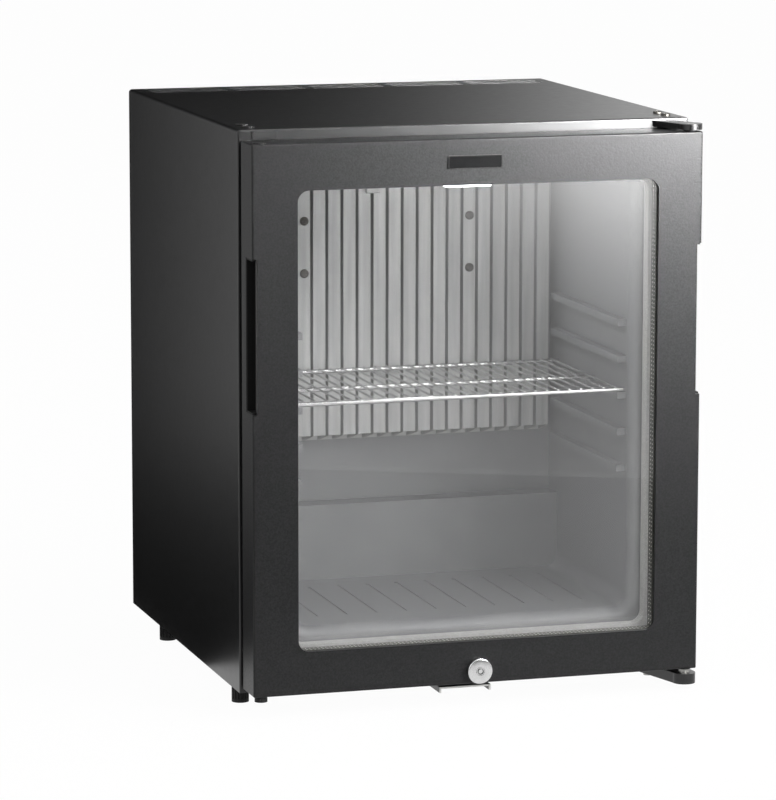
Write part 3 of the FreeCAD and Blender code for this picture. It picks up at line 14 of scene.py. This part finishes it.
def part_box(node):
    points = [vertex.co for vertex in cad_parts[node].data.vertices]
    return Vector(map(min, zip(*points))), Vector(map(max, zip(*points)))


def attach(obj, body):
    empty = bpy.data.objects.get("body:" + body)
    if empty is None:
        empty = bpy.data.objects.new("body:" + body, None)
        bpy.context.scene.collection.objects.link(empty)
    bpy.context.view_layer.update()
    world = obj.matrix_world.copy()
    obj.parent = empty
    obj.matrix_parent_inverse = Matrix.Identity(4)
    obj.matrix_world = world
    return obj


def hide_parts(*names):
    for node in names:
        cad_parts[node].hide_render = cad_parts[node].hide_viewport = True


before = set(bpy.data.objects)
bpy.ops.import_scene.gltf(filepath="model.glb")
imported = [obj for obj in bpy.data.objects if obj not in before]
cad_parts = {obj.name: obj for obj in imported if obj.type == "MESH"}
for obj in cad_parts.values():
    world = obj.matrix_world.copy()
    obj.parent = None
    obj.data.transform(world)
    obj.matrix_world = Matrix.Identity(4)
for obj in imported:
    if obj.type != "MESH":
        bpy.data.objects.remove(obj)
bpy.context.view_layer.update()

# %% [markdown]
# ## The camera
# The fridge is seen from its left, a little from above, through a long lens. A camera's place could be found
# by eye, but here it was worked out from the corners of the cabinet and the door, so that the lines of the
# model run as they do in the picture. A long lens far away keeps upright edges nearly parallel.

# %% Camera
CAMERA_PLACE = (-1.1356, -3.6659, 0.866)
YAW = math.radians(16.962)
PITCH = math.radians(9.376)
ROLL = math.radians(0.076)
FOCAL_PIXELS = 4346
LONG_SIDE_PIXELS = 800
SENSOR_MM = 36


def deselect():
    bpy.ops.object.select_all(action="DESELECT")


deselect()
bpy.ops.object.camera_add(location=CAMERA_PLACE)
camera = bpy.context.object
camera.name = "picture_camera"
aim = Vector((math.sin(YAW) * math.cos(PITCH), math.cos(YAW) * math.cos(PITCH), -math.sin(PITCH)))
camera.rotation_euler = (aim.to_track_quat("-Z", "Y") @ Quaternion((0, 0, 1), ROLL)).to_euler()
camera.data.sensor_width = SENSOR_MM
camera.data.lens = FOCAL_PIXELS / LONG_SIDE_PIXELS * SENSOR_MM
bpy.context.scene.camera = camera
bpy.context.scene.view_settings.view_transform = "Standard"
print("lens", round(camera.data.lens, 1), "mm")

# %% [markdown]
# ## Nodes and colours
# Every finish below is a small network of shader nodes. One function adds a node, sets it and links it, one
# starts a material and one shows its result. Another turns the hex colours that people read into the linear
# values that light is reckoned in.

# %% Node and colour helpers
def colour(hex_code):
    """The linear colour, with full alpha, of an sRGB hex value."""
    parts = [int(hex_code[start:start + 2], 16) / 255 for start in (1, 3, 5)]
    linear = [part / 12.92 if part <= 0.04045 else ((part + 0.055) / 1.055) ** 2.4 for part in parts]
    return (*linear, 1.0)


def add_node(tree, kind, settings, links):
    """Add a node. Settings name its inputs or its own properties, and links give sources for its inputs."""
    node = tree.nodes.new(kind)
    for name, setting in settings.items():
        if name == "stops":
            for stop, (place, shade) in zip(node.color_ramp.elements, setting):
                stop.position = place
                stop.color = shade
        elif isinstance(name, int) or name in node.inputs:
            node.inputs[name].default_value = setting
        else:
            setattr(node, name, setting)
    for name, source in links.items():
        tree.links.new(source, node.inputs[name])
    return node


def new_material(name, inputs):
    """A material, its node tree and its main shader with some inputs set."""
    material = bpy.data.materials.new(name)
    material.use_nodes = True
    shader = material.node_tree.nodes["Principled BSDF"]
    for socket, setting in inputs.items():
        shader.inputs[socket].default_value = setting
    return material, material.node_tree, shader


def show(tree, node):
    """Link a node to what the material shows."""
    tree.links.new(node.outputs[0], tree.nodes["Material Output"].inputs["Surface"])


print("black is", colour("#111112"))

# %% [markdown]
# ## The studio
# The fridge stands on a pale floor in even light. The white behind it comes from what the camera, mirrors and
# glass see of the floor and the surroundings, not from stronger lamps, so the black coats stay black. Dark
# cards behind and in front are seen only in reflections. A photographer puts up such cards so that a black
# side doesn't turn grey with the white of the room. Two glowing cloths near the door's upper right corner do
# the opposite: a small bright one draws the sheen on the door, and a large faint one veils the glass.

# %% Studio
SURROUNDINGS_LEVEL = 0.48
DOOR_CORNER = (0.2, -0.21, 0.49)
HEM_SHARE = 0.3
FLOOR_REACH = 20
FLOOR_ROUGHNESS = 0.9
FLOOR_WHITE_SHARE = 0.97
CARD_LIFT = 0.001
UPRIGHT = math.pi / 2
FADE_START = -0.05
FADE_END = 0.66
FADE_POWER = 4.0


def sees_white(tree):
    """A factor that is 1 for rays from the camera, from gloss and through glass."""
    path = add_node(tree, "ShaderNodeLightPath", {}, {})
    first = {0: path.outputs["Is Camera Ray"], 1: path.outputs["Is Glossy Ray"]}
    either = add_node(tree, "ShaderNodeMath", {"operation": "MAXIMUM"}, first)
    second = {0: either.outputs[0], 1: path.outputs["Is Transmission Ray"]}
    return add_node(tree, "ShaderNodeMath", {"operation": "MAXIMUM"}, second).outputs[0]


def light_surroundings(level):
    world = bpy.data.worlds.new("studio_surroundings")
    world.use_nodes = True
    bpy.context.scene.world = world
    tree = world.node_tree
    tree.nodes.clear()
    soft = add_node(tree, "ShaderNodeBackground", {"Color": colour("#ffffff"), "Strength": level}, {})
    white = add_node(tree, "ShaderNodeBackground", {"Color": colour("#ffffff"), "Strength": 1.0}, {})
    either = {0: sees_white(tree), 1: soft.outputs[0], 2: white.outputs[0]}
    mix = add_node(tree, "ShaderNodeMixShader", {}, either)
    add_node(tree, "ShaderNodeOutputWorld", {}, {"Surface": mix.outputs[0]})


def softbox(name, place, target, side, power):
    deselect()
    bpy.ops.object.light_add(type="AREA", location=place)
    lamp = bpy.context.object
    lamp.name = name
    lamp.data.shape = "SQUARE"
    lamp.data.size = side
    lamp.data.energy = power
    lamp.rotation_euler = (Vector(target) - Vector(place)).to_track_quat("-Z", "Y").to_euler()


def card(name, low, high, turn):
    """A flat card over a span of two axes, lying down, or stood up by a turn about X."""
    deselect()
    bpy.ops.mesh.primitive_plane_add(size=1, rotation=(turn, 0, 0))
    plane = bpy.context.object
    plane.name = name
    spans = [far - near for near, far in zip(low, high)]
    plane.scale = (spans[0], max(spans[1], spans[2]), 1)
    plane.location = [(near + far) / 2 for near, far in zip(low, high)]
    bpy.ops.object.transform_apply(location=True, rotation=True, scale=True)
    return plane


def glow_cloth(name, place, target, side, strength, falloff, hem):
    """A lamp behind cloth that fades to its rim, with a hem as pale as the floor that fades upwards.

    Gloss and glass show the cloth, but it lights nothing.
    """
    deselect()
    turn = (Vector(target) - Vector(place)).to_track_quat("Z", "Y").to_euler()
    bpy.ops.mesh.primitive_plane_add(size=side, location=place, rotation=turn)
    cloth = bpy.context.object
    cloth.name = name
    glow, tree, shader = new_material("glowing_cloth", {})
    tree.nodes.remove(shader)
    place_on = add_node(tree, "ShaderNodeTexCoord", {}, {})
    centred = {"Location": (-1, -1, 0), "Scale": (2, 2, 1)}
    spread = add_node(tree, "ShaderNodeMapping", centred, {"Vector": place_on.outputs["UV"]})
    fade = add_node(tree, "ShaderNodeTexGradient", {"gradient_type": "SPHERICAL"}, {0: spread.outputs[0]})
    steep = add_node(tree, "ShaderNodeMath", {"operation": "POWER", 1: falloff}, {0: fade.outputs[1]})
    power = add_node(tree, "ShaderNodeMath", {"operation": "MULTIPLY", 1: strength}, {0: steep.outputs[0]})
    split = add_node(tree, "ShaderNodeSeparateXYZ", {}, {0: place_on.outputs["UV"]})
    span = {"interpolation_type": "SMOOTHSTEP", "From Max": HEM_SHARE, "To Min": hem, "To Max": 0.0}
    pale = add_node(tree, "ShaderNodeMapRange", span, {"Value": split.outputs["Y"]})
    both = add_node(tree, "ShaderNodeMath", {"operation": "ADD"}, {0: power.outputs[0], 1: pale.outputs[0]})
    show(tree, add_node(tree, "ShaderNodeEmission", {}, {"Strength": both.outputs[0]}))
    cloth.data.materials.append(glow)
    cloth.visible_camera = False
    cloth.visible_diffuse = False
    cloth.visible_shadow = False


light_surroundings(SURROUNDINGS_LEVEL)
glow_cloth("sheen_cloth", (0.45, -0.75, 0.62), DOOR_CORNER, side=0.44, strength=360, falloff=1.5, hem=0.0)
glow_cloth("veil_cloth", (0.47, -0.79, 0.63), DOOR_CORNER, side=1.2, strength=30, falloff=3.0, hem=0.85)
softbox("key_box", (1.5, -2.6, 1.7), target=(0, -0.15, 0.3), side=1.4, power=38)
softbox("top_box", (0.4, -0.9, 2.6), target=(0, 0, 0.3), side=1.6, power=24)
softbox("fill_box", (-2.2, -2.2, 1.3), target=(0, -0.1, 0.25), side=1.4, power=12)

floor = card("pale_floor", (-FLOOR_REACH, -FLOOR_REACH, 0), (FLOOR_REACH, FLOOR_REACH, 0), turn=0)
floor_looks = {"Base Color": colour("#f2f2f0"), "Roughness": FLOOR_ROUGHNESS}
floor_paint, floor_tree, floor_shader = new_material("pale_floor_paint", floor_looks)
white_glow = add_node(floor_tree, "ShaderNodeEmission", {"Strength": 1.0}, {})
whiten = {"operation": "MULTIPLY", 1: FLOOR_WHITE_SHARE}
share = add_node(floor_tree, "ShaderNodeMath", whiten, {0: sees_white(floor_tree)})
floor_parts = {0: share.outputs[0], 1: floor_shader.outputs[0], 2: white_glow.outputs[0]}
show(floor_tree, add_node(floor_tree, "ShaderNodeMixShader", {}, floor_parts))
floor.data.materials.append(floor_paint)

card_paint = new_material("black_card", {"Base Color": colour("#0a0a0a"), "Specular IOR Level": 0.0})[0]


def graded_card():
    """Black on the left, growing to white at its right end, so that the top's sheen has no edge."""
    material, tree, shader = new_material("graded_card", {})
    tree.nodes.remove(shader)
    place = add_node(tree, "ShaderNodeTexCoord", {}, {})
    split = add_node(tree, "ShaderNodeSeparateXYZ", {}, {0: place.outputs["Object"]})
    span = {"From Min": FADE_START, "From Max": FADE_END}
    across = add_node(tree, "ShaderNodeMapRange", span, {"Value": split.outputs["X"]})
    steep = add_node(tree, "ShaderNodeMath", {"operation": "POWER", 1: FADE_POWER}, {0: across.outputs[0]})
    show(tree, add_node(tree, "ShaderNodeEmission", {}, {"Strength": steep.outputs[0]}))
    return material


standing_card = card("standing_card", (-0.68, 1.2, 0), (0.75, 1.2, 1.8), turn=UPRIGHT)
standing_card.data.materials.append(graded_card())
cards = [
    standing_card,
    card("lying_card", (-0.68, 0, CARD_LIFT), (-0.205, 1.2, CARD_LIFT), turn=0),
    card("front_card", (-1.6, -5, CARD_LIFT), (3.2, -0.5, CARD_LIFT), turn=0),
    card("front_wall", (-3, -5, 0), (4, -5, 2.5), turn=UPRIGHT),
]
for black_card in cards[1:]:
    black_card.data.materials.append(card_paint)
for dark_card in cards:
    dark_card.visible_camera = False
    dark_card.visible_diffuse = False
    dark_card.visible_transmission = False
    dark_card.visible_shadow = False
print("studio: 3 softboxes, 2 cloths, 1 floor,", len(cards), "cards")

# %% [markdown]
# ## Finishes with a grain
# Coats, mouldings, castings and rubber all have a grain of some size. One noise of that real size can drive
# colour, gloss and relief together, so that a darker spot is also a little lower and a little duller. The
# grain of the door's coat is drawn at 1.5 mm, about twice its real size, because a finer one wouldn't show.

# %% Grained finishes
NOISE_LOW = 0.3
NOISE_HIGH = 0.7
NOISE_DETAIL = 3.0


def grained(name, dark, light, grain_mm, relief_mm, gloss, sockets, stretch=(1, 1, 1)):
    """A finish whose colour, roughness and relief follow one noise.

    Stretch draws the grain out along an axis.
    """
    material, tree, shader = new_material(name, sockets)
    place = add_node(tree, "ShaderNodeTexCoord", {}, {})
    mapped = add_node(tree, "ShaderNodeMapping", {"Scale": stretch}, {"Vector": place.outputs["Object"]})
    noise = add_node(tree, "ShaderNodeTexNoise", {"Scale": 1000 / grain_mm, "Detail": NOISE_DETAIL},
                     {"Vector": mapped.outputs[0]})
    stops = {"stops": [(NOISE_LOW, colour(dark)), (NOISE_HIGH, colour(light))]}
    shade = add_node(tree, "ShaderNodeValToRGB", stops, {"Fac": noise.outputs[0]})
    tree.links.new(shade.outputs["Color"], shader.inputs["Base Color"])
    span = {"From Min": NOISE_LOW, "From Max": NOISE_HIGH, "To Min": gloss[0], "To Max": gloss[1]}
    dull = add_node(tree, "ShaderNodeMapRange", span, {"Value": noise.outputs[0]})
    tree.links.new(dull.outputs[0], shader.inputs["Roughness"])
    bump = add_node(tree, "ShaderNodeBump", {"Strength": 1.0, "Distance": relief_mm / 1000},
                    {"Height": noise.outputs[0]})
    tree.links.new(bump.outputs[0], shader.inputs["Normal"])
    return material


# Grained powder coat on the door: a fine sparkle over a soft black.
door_coat = grained("grained_black_coat", "#0d0d0e", "#1e1e1f", 1.5, 0.09, (0.32, 0.44),
                    {"Specular IOR Level": 0.25})
# Satin enamel on folded sheet steel: smooth, with a faint orange peel.
shell_enamel = grained("satin_black_enamel", "#0d0d0e", "#121213", 8, 0.003, (0.29, 0.32), {"IOR": 1.5})
# Stove paint on the pipes of the cooling unit: duller and a little dusty.
unit_paint = grained("dull_black_paint", "#121212", "#232322", 4, 0.04, (0.5, 0.7), {"IOR": 1.5})
# Vacuum-formed polystyrene of the lining: satin, with a broad ripple from the mould.
liner_sheet = grained("formed_grey_sheet", "#78797b", "#828384", 30, 0.03, (0.36, 0.46), {"IOR": 1.55})
# Injection-moulded ABS of the light inner frame.
pale_moulding = grained("pale_grey_moulding", "#c8c8c6", "#d6d6d3", 3, 0.02, (0.4, 0.5), {"IOR": 1.53})
# Black ABS of grips, plugs, caps, feet, control box and the badge's rim.
black_moulding = grained("black_moulding", "#090909", "#141414", 0.9, 0.03, (0.5, 0.65),
                         {"Specular IOR Level": 0.25})
# Soft vinyl of the door seal: dull.
seal_vinyl = grained("soft_black_vinyl", "#0b0b0b", "#181818", 2.5, 0.03, (0.65, 0.8), {"IOR": 1.5})
# Bright anodised aluminium of the fins, with the long streaks of the press.
fin_metal = grained("anodised_aluminium", "#a4a5a4", "#bcbdbc", 6, 0.01, (0.38, 0.5), {"Metallic": 0.45},
                    stretch=(1, 1, 0.04))
# Zinc-plated steel of pins, screws and brackets.
zinc_plate = grained("zinc_plated_steel", "#8d8d8b", "#a9a9a5", 5, 0.01, (0.3, 0.45), {"Metallic": 1.0})
# Dark steel of the screws on the fins and on the top hinge.
screw_steel = grained("dark_screw_steel", "#3c3a37", "#575551", 2, 0.01, (0.3, 0.45), {"Metallic": 0.8})
# Polished chromium plate of the shelf and the lock.
chrome_plate = grained("polished_chrome_plate", "#cacaca", "#dadada", 12, 0.002, (0.17, 0.26),
                       {"Metallic": 1.0})
# Milky polycarbonate of the lamp, with the lamp's own glow.
lamp_milk = grained("milky_lamp_cover", "#ececea", "#f6f6f4", 10, 0.01, (0.3, 0.4),
                    {"IOR": 1.58, "Emission Color": colour("#ffffff"), "Emission Strength": 44.0})
# Rigid foam: pale yellow cells.
foam_cells = grained("pale_rigid_foam", "#b59c62", "#d8c68f", 2, 0.4, (0.8, 0.95), {"IOR": 1.4})
print("materials so far:", len(bpy.data.materials))

# %% [markdown]
# ## Panes, spacer and keeper
# Three finishes need more than a grain. The panes are clear glass that lets lamplight through to the inside.
# The spacer between them is a metal bar with a row of breathing holes, drawn as bright dots from its
# own coordinates; a second row of dots beside it is a painted reflection of the holes in the glass. The
# keeper is painted, but its front edge is cut after painting and shows bare steel.

# %% Panes, spacer and keeper
def clear_pane():
    """Clear float glass. Shadow and diffuse rays pass straight, so that the inside is lit."""
    clear = {"Transmission Weight": 1.0, "Roughness": 0.0, "IOR": 1.5, "Base Color": colour("#fdfdfd")}
    material, tree, glass = new_material("clear_float_glass", clear)
    path = add_node(tree, "ShaderNodeLightPath", {}, {})
    either = {0: path.outputs["Is Shadow Ray"], 1: path.outputs["Is Diffuse Ray"]}
    passing = add_node(tree, "ShaderNodeMath", {"operation": "MAXIMUM"}, either)
    straight = add_node(tree, "ShaderNodeBsdfTransparent", {"Color": colour("#fafafa")}, {})
    parts = {0: passing.outputs[0], 1: glass.outputs[0], 2: straight.outputs[0]}
    show(tree, add_node(tree, "ShaderNodeMixShader", {}, parts))
    return material


def spacer_holes_and_painted_reflection(pitch_mm, hole_mm, row_mm):
    """Grey bar with two rows of bright dots along its length, either side of its middle: breathing holes and
    their painted reflection.
    """
    material, tree, shader = new_material("perforated_spacer_and_painted_reflection", {"Metallic": 0.6, "Roughness": 0.4})
    low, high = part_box("glass_spacer")
    place = add_node(tree, "ShaderNodeTexCoord", {}, {})
    split = add_node(tree, "ShaderNodeSeparateXYZ", {}, {0: place.outputs["Object"]})
    lengths = {0: split.outputs["X"], 1: split.outputs["Z"]}
    along = add_node(tree, "ShaderNodeMath", {"operation": "ADD"}, lengths)
    pitch = pitch_mm / 1000
    step = add_node(tree, "ShaderNodeMath", {"operation": "PINGPONG", 1: pitch / 2}, {0: along.outputs[0]})
    middle = (low[1] + high[1]) / 2
    off = add_node(tree, "ShaderNodeMath", {"operation": "SUBTRACT", 1: middle}, {0: split.outputs["Y"]})
    side = add_node(tree, "ShaderNodeMath", {"operation": "ABSOLUTE"}, {0: off.outputs[0]})
    row = add_node(tree, "ShaderNodeMath", {"operation": "SUBTRACT", 1: row_mm / 1000}, {0: side.outputs[0]})
    spot = add_node(tree, "ShaderNodeCombineXYZ", {}, {"X": step.outputs[0], "Y": row.outputs[0]})
    reach = add_node(tree, "ShaderNodeVectorMath", {"operation": "LENGTH"}, {0: spot.outputs[0]})
    inside = add_node(tree, "ShaderNodeMath", {"operation": "LESS_THAN", 1: hole_mm / 1000},
                      {0: reach.outputs["Value"]})
    # Bright dots on dull grey: one row stands for the breathing holes, the other is their painted reflection
    # in the glass.
    stops = {"stops": [(0.0, colour("#55554f")), (1.0, colour("#e6e6e0"))]}
    shade = add_node(tree, "ShaderNodeValToRGB", stops, {"Fac": inside.outputs[0]})
    tree.links.new(shade.outputs["Color"], shader.inputs["Base Color"])
    return material


def keeper_paint(edge_mm):
    """Black enamel with a bare steel edge at the front."""
    material, tree, shader = new_material("enamel_with_bare_edge", {"Roughness": 0.35})
    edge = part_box("lock_keeper")[0][1] + edge_mm / 1000
    place = add_node(tree, "ShaderNodeTexCoord", {}, {})
    split = add_node(tree, "ShaderNodeSeparateXYZ", {}, {0: place.outputs["Object"]})
    bare = add_node(tree, "ShaderNodeMath", {"operation": "LESS_THAN", 1: edge}, {0: split.outputs["Y"]})
    stops = {"stops": [(0.0, colour("#101011")), (1.0, colour("#e4e4e2"))]}
    shade = add_node(tree, "ShaderNodeValToRGB", stops, {"Fac": bare.outputs[0]})
    tree.links.new(shade.outputs["Color"], shader.inputs["Base Color"])
    return material


pane_glass = clear_pane()
spacer_bar = spacer_holes_and_painted_reflection(pitch_mm=3.6, hole_mm=0.75, row_mm=2.2)
keeper_enamel = keeper_paint(edge_mm=0.8)
print("special finishes:", pane_glass.name, spacer_bar.name, keeper_enamel.name)

# %% [markdown]
# ## Dressing the CAD parts
# A CAD part whose shape is right keeps it, and only its finish changes. The parts are listed by finish, as a
# maker would sort them before painting.

# %% Dress the CAD parts
FINISHES = [
    (door_coat, "door_frame"),
    (shell_enamel, "outer_shell base_plate rear_bulkhead top_hinge bottom_hinge"),
    (unit_paint, "absorber_vessel boiler_tube liquid_pipe condenser_pipe absorber_coil"),
    (liner_sheet, "inner_liner mouth_frame"),
    (pale_moulding, "door_inner_frame"),
    (black_moulding, "badge_plate hinge_slot_cover top_screw_caps grip_insert_left grip_insert_right "
                     "top_hinge_bush bottom_hinge_bush hinge_hole_plugs thermostat_body thermostat_knob "
                     "cord_gland control_box control_box_cover foot_front_left foot_front_right "
                     "foot_rear_left foot_rear_right"),
    (seal_vinyl, "door_gasket gasket_magnets"),
    (fin_metal, "evaporator_fins condenser_fins boiler_jacket sensor_clip"),
    (zinc_plate, "evaporator_tube top_hinge_pin bottom_hinge_pin underside_screws lock_nut lock_cam "
                 "heater_cartridge unit_brackets unit_screws fin_screws top_hinge_screws"),
    (chrome_plate, "wire_shelf lock_core lock_barrel"),
    (lamp_milk, "lamp_housing lamp_diffuser"),
    (foam_cells, "insulation_foam evaporator_plug door_foam"),
    (pane_glass, "outer_glass inner_glass"),
    (spacer_bar, "glass_spacer"),
    (keeper_enamel, "lock_keeper"),
]


def dress(material, names):
    for name in names.split():
        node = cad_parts[name]
        if not node.material_slots:
            node.data.materials.append(material)
        for slot in node.material_slots:
            slot.material = material


for finish, names in FINISHES:
    dress(finish, names)
dressed = {name for finish, names in FINISHES for name in names.split()}
print("dressed", len(dressed), "of", len(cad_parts), "parts; left:", set(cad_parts) - dressed)

# %% [markdown]
# ## Screw heads
# The screws on the fins and on the top hinge show only their heads: pan heads with a rounded rim and a
# crossed recess. A texture could draw the cross, but a cut one catches light on its edges. One head is
# modelled standing on the origin, facing up, and its copies are turned and moved to their seats.

# %% Screw heads
HEAD_RADIUS = 0.004
HEAD_HEIGHT = 0.0018
RIM_ROUND = 0.0008
CROSS_LENGTH = 0.0044
CROSS_WIDTH = 0.0009
CROSS_DEPTH = 0.0011
HEAD_SIDES = 40
HEAD_STEPS = 4
FACING = 0.9
SMOOTH_ANGLE = math.radians(35)


def pick_faces(piece, wanted):
    """Go to edit mode with only the wanted faces of the active piece selected."""
    bpy.ops.object.mode_set(mode="EDIT")
    bpy.ops.mesh.select_mode(type="FACE")
    bpy.ops.mesh.select_all(action="DESELECT")
    bpy.ops.object.mode_set(mode="OBJECT")
    for face in piece.data.polygons:
        face.select = wanted(face)
    bpy.ops.object.mode_set(mode="EDIT")


def cut_away(piece, size, place):
    """Take a block out of a piece."""
    deselect()
    bpy.ops.mesh.primitive_cube_add(size=1, location=place)
    block = bpy.context.object
    block.scale = size
    bpy.ops.object.transform_apply(location=True, rotation=True, scale=True)
    recess = piece.modifiers.new("recess", "BOOLEAN")
    recess.operation = "DIFFERENCE"
    recess.solver = "EXACT"
    recess.object = block
    deselect()
    piece.select_set(True)
    bpy.context.view_layer.objects.active = piece
    bpy.ops.object.modifier_apply(modifier="recess")
    bpy.data.objects.remove(block)


def pan_head():
    deselect()
    bpy.ops.mesh.primitive_cylinder_add(vertices=HEAD_SIDES, radius=HEAD_RADIUS, depth=HEAD_HEIGHT,
                                        location=(0, 0, HEAD_HEIGHT / 2))
    head = bpy.context.object
    bpy.ops.object.transform_apply(location=True, rotation=True, scale=True)
    pick_faces(head, lambda face: face.normal.z > FACING)
    bpy.ops.mesh.bevel(offset=RIM_ROUND, segments=HEAD_STEPS, affect="EDGES")
    bpy.ops.object.mode_set(mode="OBJECT")
    cut_away(head, (CROSS_LENGTH, CROSS_WIDTH, CROSS_DEPTH * 2), (0, 0, HEAD_HEIGHT))
    cut_away(head, (CROSS_WIDTH, CROSS_LENGTH, CROSS_DEPTH * 2), (0, 0, HEAD_HEIGHT))
    bpy.ops.object.shade_smooth_by_angle(angle=SMOOTH_ANGLE)
    return head


def seat_copies(master, name, places, turn):
    """Copies of a piece at their places, joined into one piece."""
    copies = []
    for place in places:
        deselect()
        master.select_set(True)
        bpy.context.view_layer.objects.active = master
        bpy.ops.object.duplicate()
        copy = bpy.context.object
        copy.location = place
        copy.rotation_euler = turn
        bpy.ops.object.transform_apply(location=True, rotation=True, scale=True)
        copies.append(copy)
    deselect()
    for copy in copies:
        copy.select_set(True)
    bpy.context.view_layer.objects.active = copies[0]
    if len(copies) > 1:
        bpy.ops.object.join()
    copies[0].name = name
    return copies[0]


screw_master = pan_head()
screw_master.data.materials.append(screw_steel)
fin_low, fin_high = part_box("fin_screws")
fin_places = [
    (x, fin_low[1] + HEAD_HEIGHT, z)
    for x in (fin_low[0] + HEAD_RADIUS, fin_high[0] - HEAD_RADIUS)
    for z in (fin_low[2] + HEAD_RADIUS, fin_high[2] - HEAD_RADIUS)
]
fin_heads = seat_copies(screw_master, "fin_screw_heads", fin_places, (math.pi / 2, 0, 0))
hinge_low, hinge_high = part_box("top_hinge_screws")
hinge_seat = hinge_high[2] - HEAD_HEIGHT / 2
hinge_places = [
    ((hinge_low[0] + hinge_high[0]) / 2, y, hinge_seat)
    for y in (hinge_low[1] + HEAD_RADIUS, hinge_high[1] - HEAD_RADIUS)
]
hinge_heads = seat_copies(screw_master, "top_hinge_screw_heads", hinge_places, (0, 0, 0))
bpy.data.objects.remove(screw_master)
for heads, node in ((fin_heads, "fin_screws"), (hinge_heads, "top_hinge_screws")):
    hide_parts(node)
    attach(heads, "cabinet")
print("screw heads:", len(fin_places), "on the fins,", len(hinge_places), "on the hinge")

# %% [markdown]
# ## Lock
# The lock in the bottom rail is a bright drum with a flat face, a rounded rim and a hole for the turning
# core. A drum from a primitive has a knife edge, so its face is bevelled, then inset and sunk for the core.

# %% Lock
ROSETTE_ROUND = 0.001
CORE_MOUTH = 0.0038
CORE_DEPTH = 0.0021
CORE_ROOM = 1.4
ROSETTE_SIDES = 96
ROSETTE_STEPS = 5
CAP_FACING = 0.99
STRIP_CORNERS = 8

barrel_low, barrel_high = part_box("lock_barrel")
door_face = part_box("door_frame")[0][1]
rosette_radius = (barrel_high[0] - barrel_low[0]) / 2
rosette_height = door_face - barrel_low[1]
lock_level = (barrel_low[2] + barrel_high[2]) / 2


def sink(depth):
    bpy.ops.mesh.extrude_region_move(TRANSFORM_OT_translate={"value": (0, 0, -depth)})


def make_rosette():
    deselect()
    bpy.ops.mesh.primitive_cylinder_add(vertices=ROSETTE_SIDES, radius=rosette_radius, depth=rosette_height,
                                        location=(0, 0, rosette_height / 2))
    master = bpy.context.object
    bpy.ops.object.transform_apply(location=True, rotation=True, scale=True)
    pick_faces(master, lambda face: face.normal.z > FACING)
    bpy.ops.mesh.bevel(offset=ROSETTE_ROUND, segments=ROSETTE_STEPS, affect="EDGES")
    bpy.ops.object.mode_set(mode="OBJECT")
    pick_faces(master, lambda face: face.normal.z > CAP_FACING and len(face.vertices) > STRIP_CORNERS)
    bpy.ops.mesh.inset(thickness=rosette_radius - ROSETTE_ROUND - CORE_MOUTH)
    sink(CORE_DEPTH)
    sink(0)
    bottom = (0, 0, rosette_height - CORE_DEPTH)
    bpy.ops.transform.resize(value=(CORE_ROOM, CORE_ROOM, 1), center_override=bottom)
    sink(rosette_height - CORE_DEPTH - ROSETTE_ROUND)
    bpy.ops.object.mode_set(mode="OBJECT")
    bpy.ops.object.shade_smooth_by_angle(angle=SMOOTH_ANGLE)
    return master


rosette_master = make_rosette()
rosette_master.data.materials.append(chrome_plate)
rosette = seat_copies(rosette_master, "lock_rosette", [(0, door_face, lock_level)], (math.pi / 2, 0, 0))
bpy.data.objects.remove(rosette_master)
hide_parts("lock_barrel")
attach(rosette, "door")
print("lock rosette", round(rosette_radius * 2000, 1), "mm across")

# %% [markdown]
# ## Badge plate
# A small plate sits on the top rail. It is left bare: a dark enamelled field inside a thin black rim. A
# block gets round corners with a bevel, then its face is inset to leave the rim, and the field is sunk a
# little.

# %% Badge plate
BADGE_CORNER = 0.0015
BADGE_RIM = 0.0008
FIELD_DEPTH = 0.0003
CORNER_STEPS = 6
ENAMEL_SLOT = 1

badge_enamel = grained("dark_badge_enamel", "#060607", "#0a0a0b", 6, 0.001, (0.3, 0.34),
                       {"Specular IOR Level": 0.08})
badge_low, badge_high = (Vector(corner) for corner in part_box("badge_plate"))
deselect()
bpy.ops.mesh.primitive_cube_add(size=1, location=(badge_low + badge_high) / 2)
badge = bpy.context.object
badge.name = "bare_badge"
badge.scale = badge_high - badge_low
bpy.ops.object.transform_apply(location=True, rotation=True, scale=True)
badge.data.materials.append(black_moulding)
badge.data.materials.append(badge_enamel)
bpy.ops.object.mode_set(mode="EDIT")
bpy.ops.mesh.select_mode(type="EDGE")
bpy.ops.mesh.select_all(action="DESELECT")
bpy.ops.object.mode_set(mode="OBJECT")
for edge in badge.data.edges:
    ends = [badge.data.vertices[index].co for index in edge.vertices]
    edge.select = abs(ends[0].y - ends[1].y) > (badge_high.y - badge_low.y) / 2
bpy.ops.object.mode_set(mode="EDIT")
bpy.ops.mesh.bevel(offset=BADGE_CORNER, segments=CORNER_STEPS, affect="EDGES")
bpy.ops.object.mode_set(mode="OBJECT")
pick_faces(badge, lambda face: face.normal.y < -FACING)
bpy.ops.mesh.inset(thickness=BADGE_RIM)
bpy.ops.mesh.extrude_region_move(TRANSFORM_OT_translate={"value": (0, FIELD_DEPTH, 0)})
badge.active_material_index = ENAMEL_SLOT
bpy.ops.object.material_slot_assign()
bpy.ops.object.mode_set(mode="OBJECT")
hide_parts("badge_plate")
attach(badge, "door")
print("badge", [round(side * 1000, 1) for side in badge_high - badge_low], "mm")
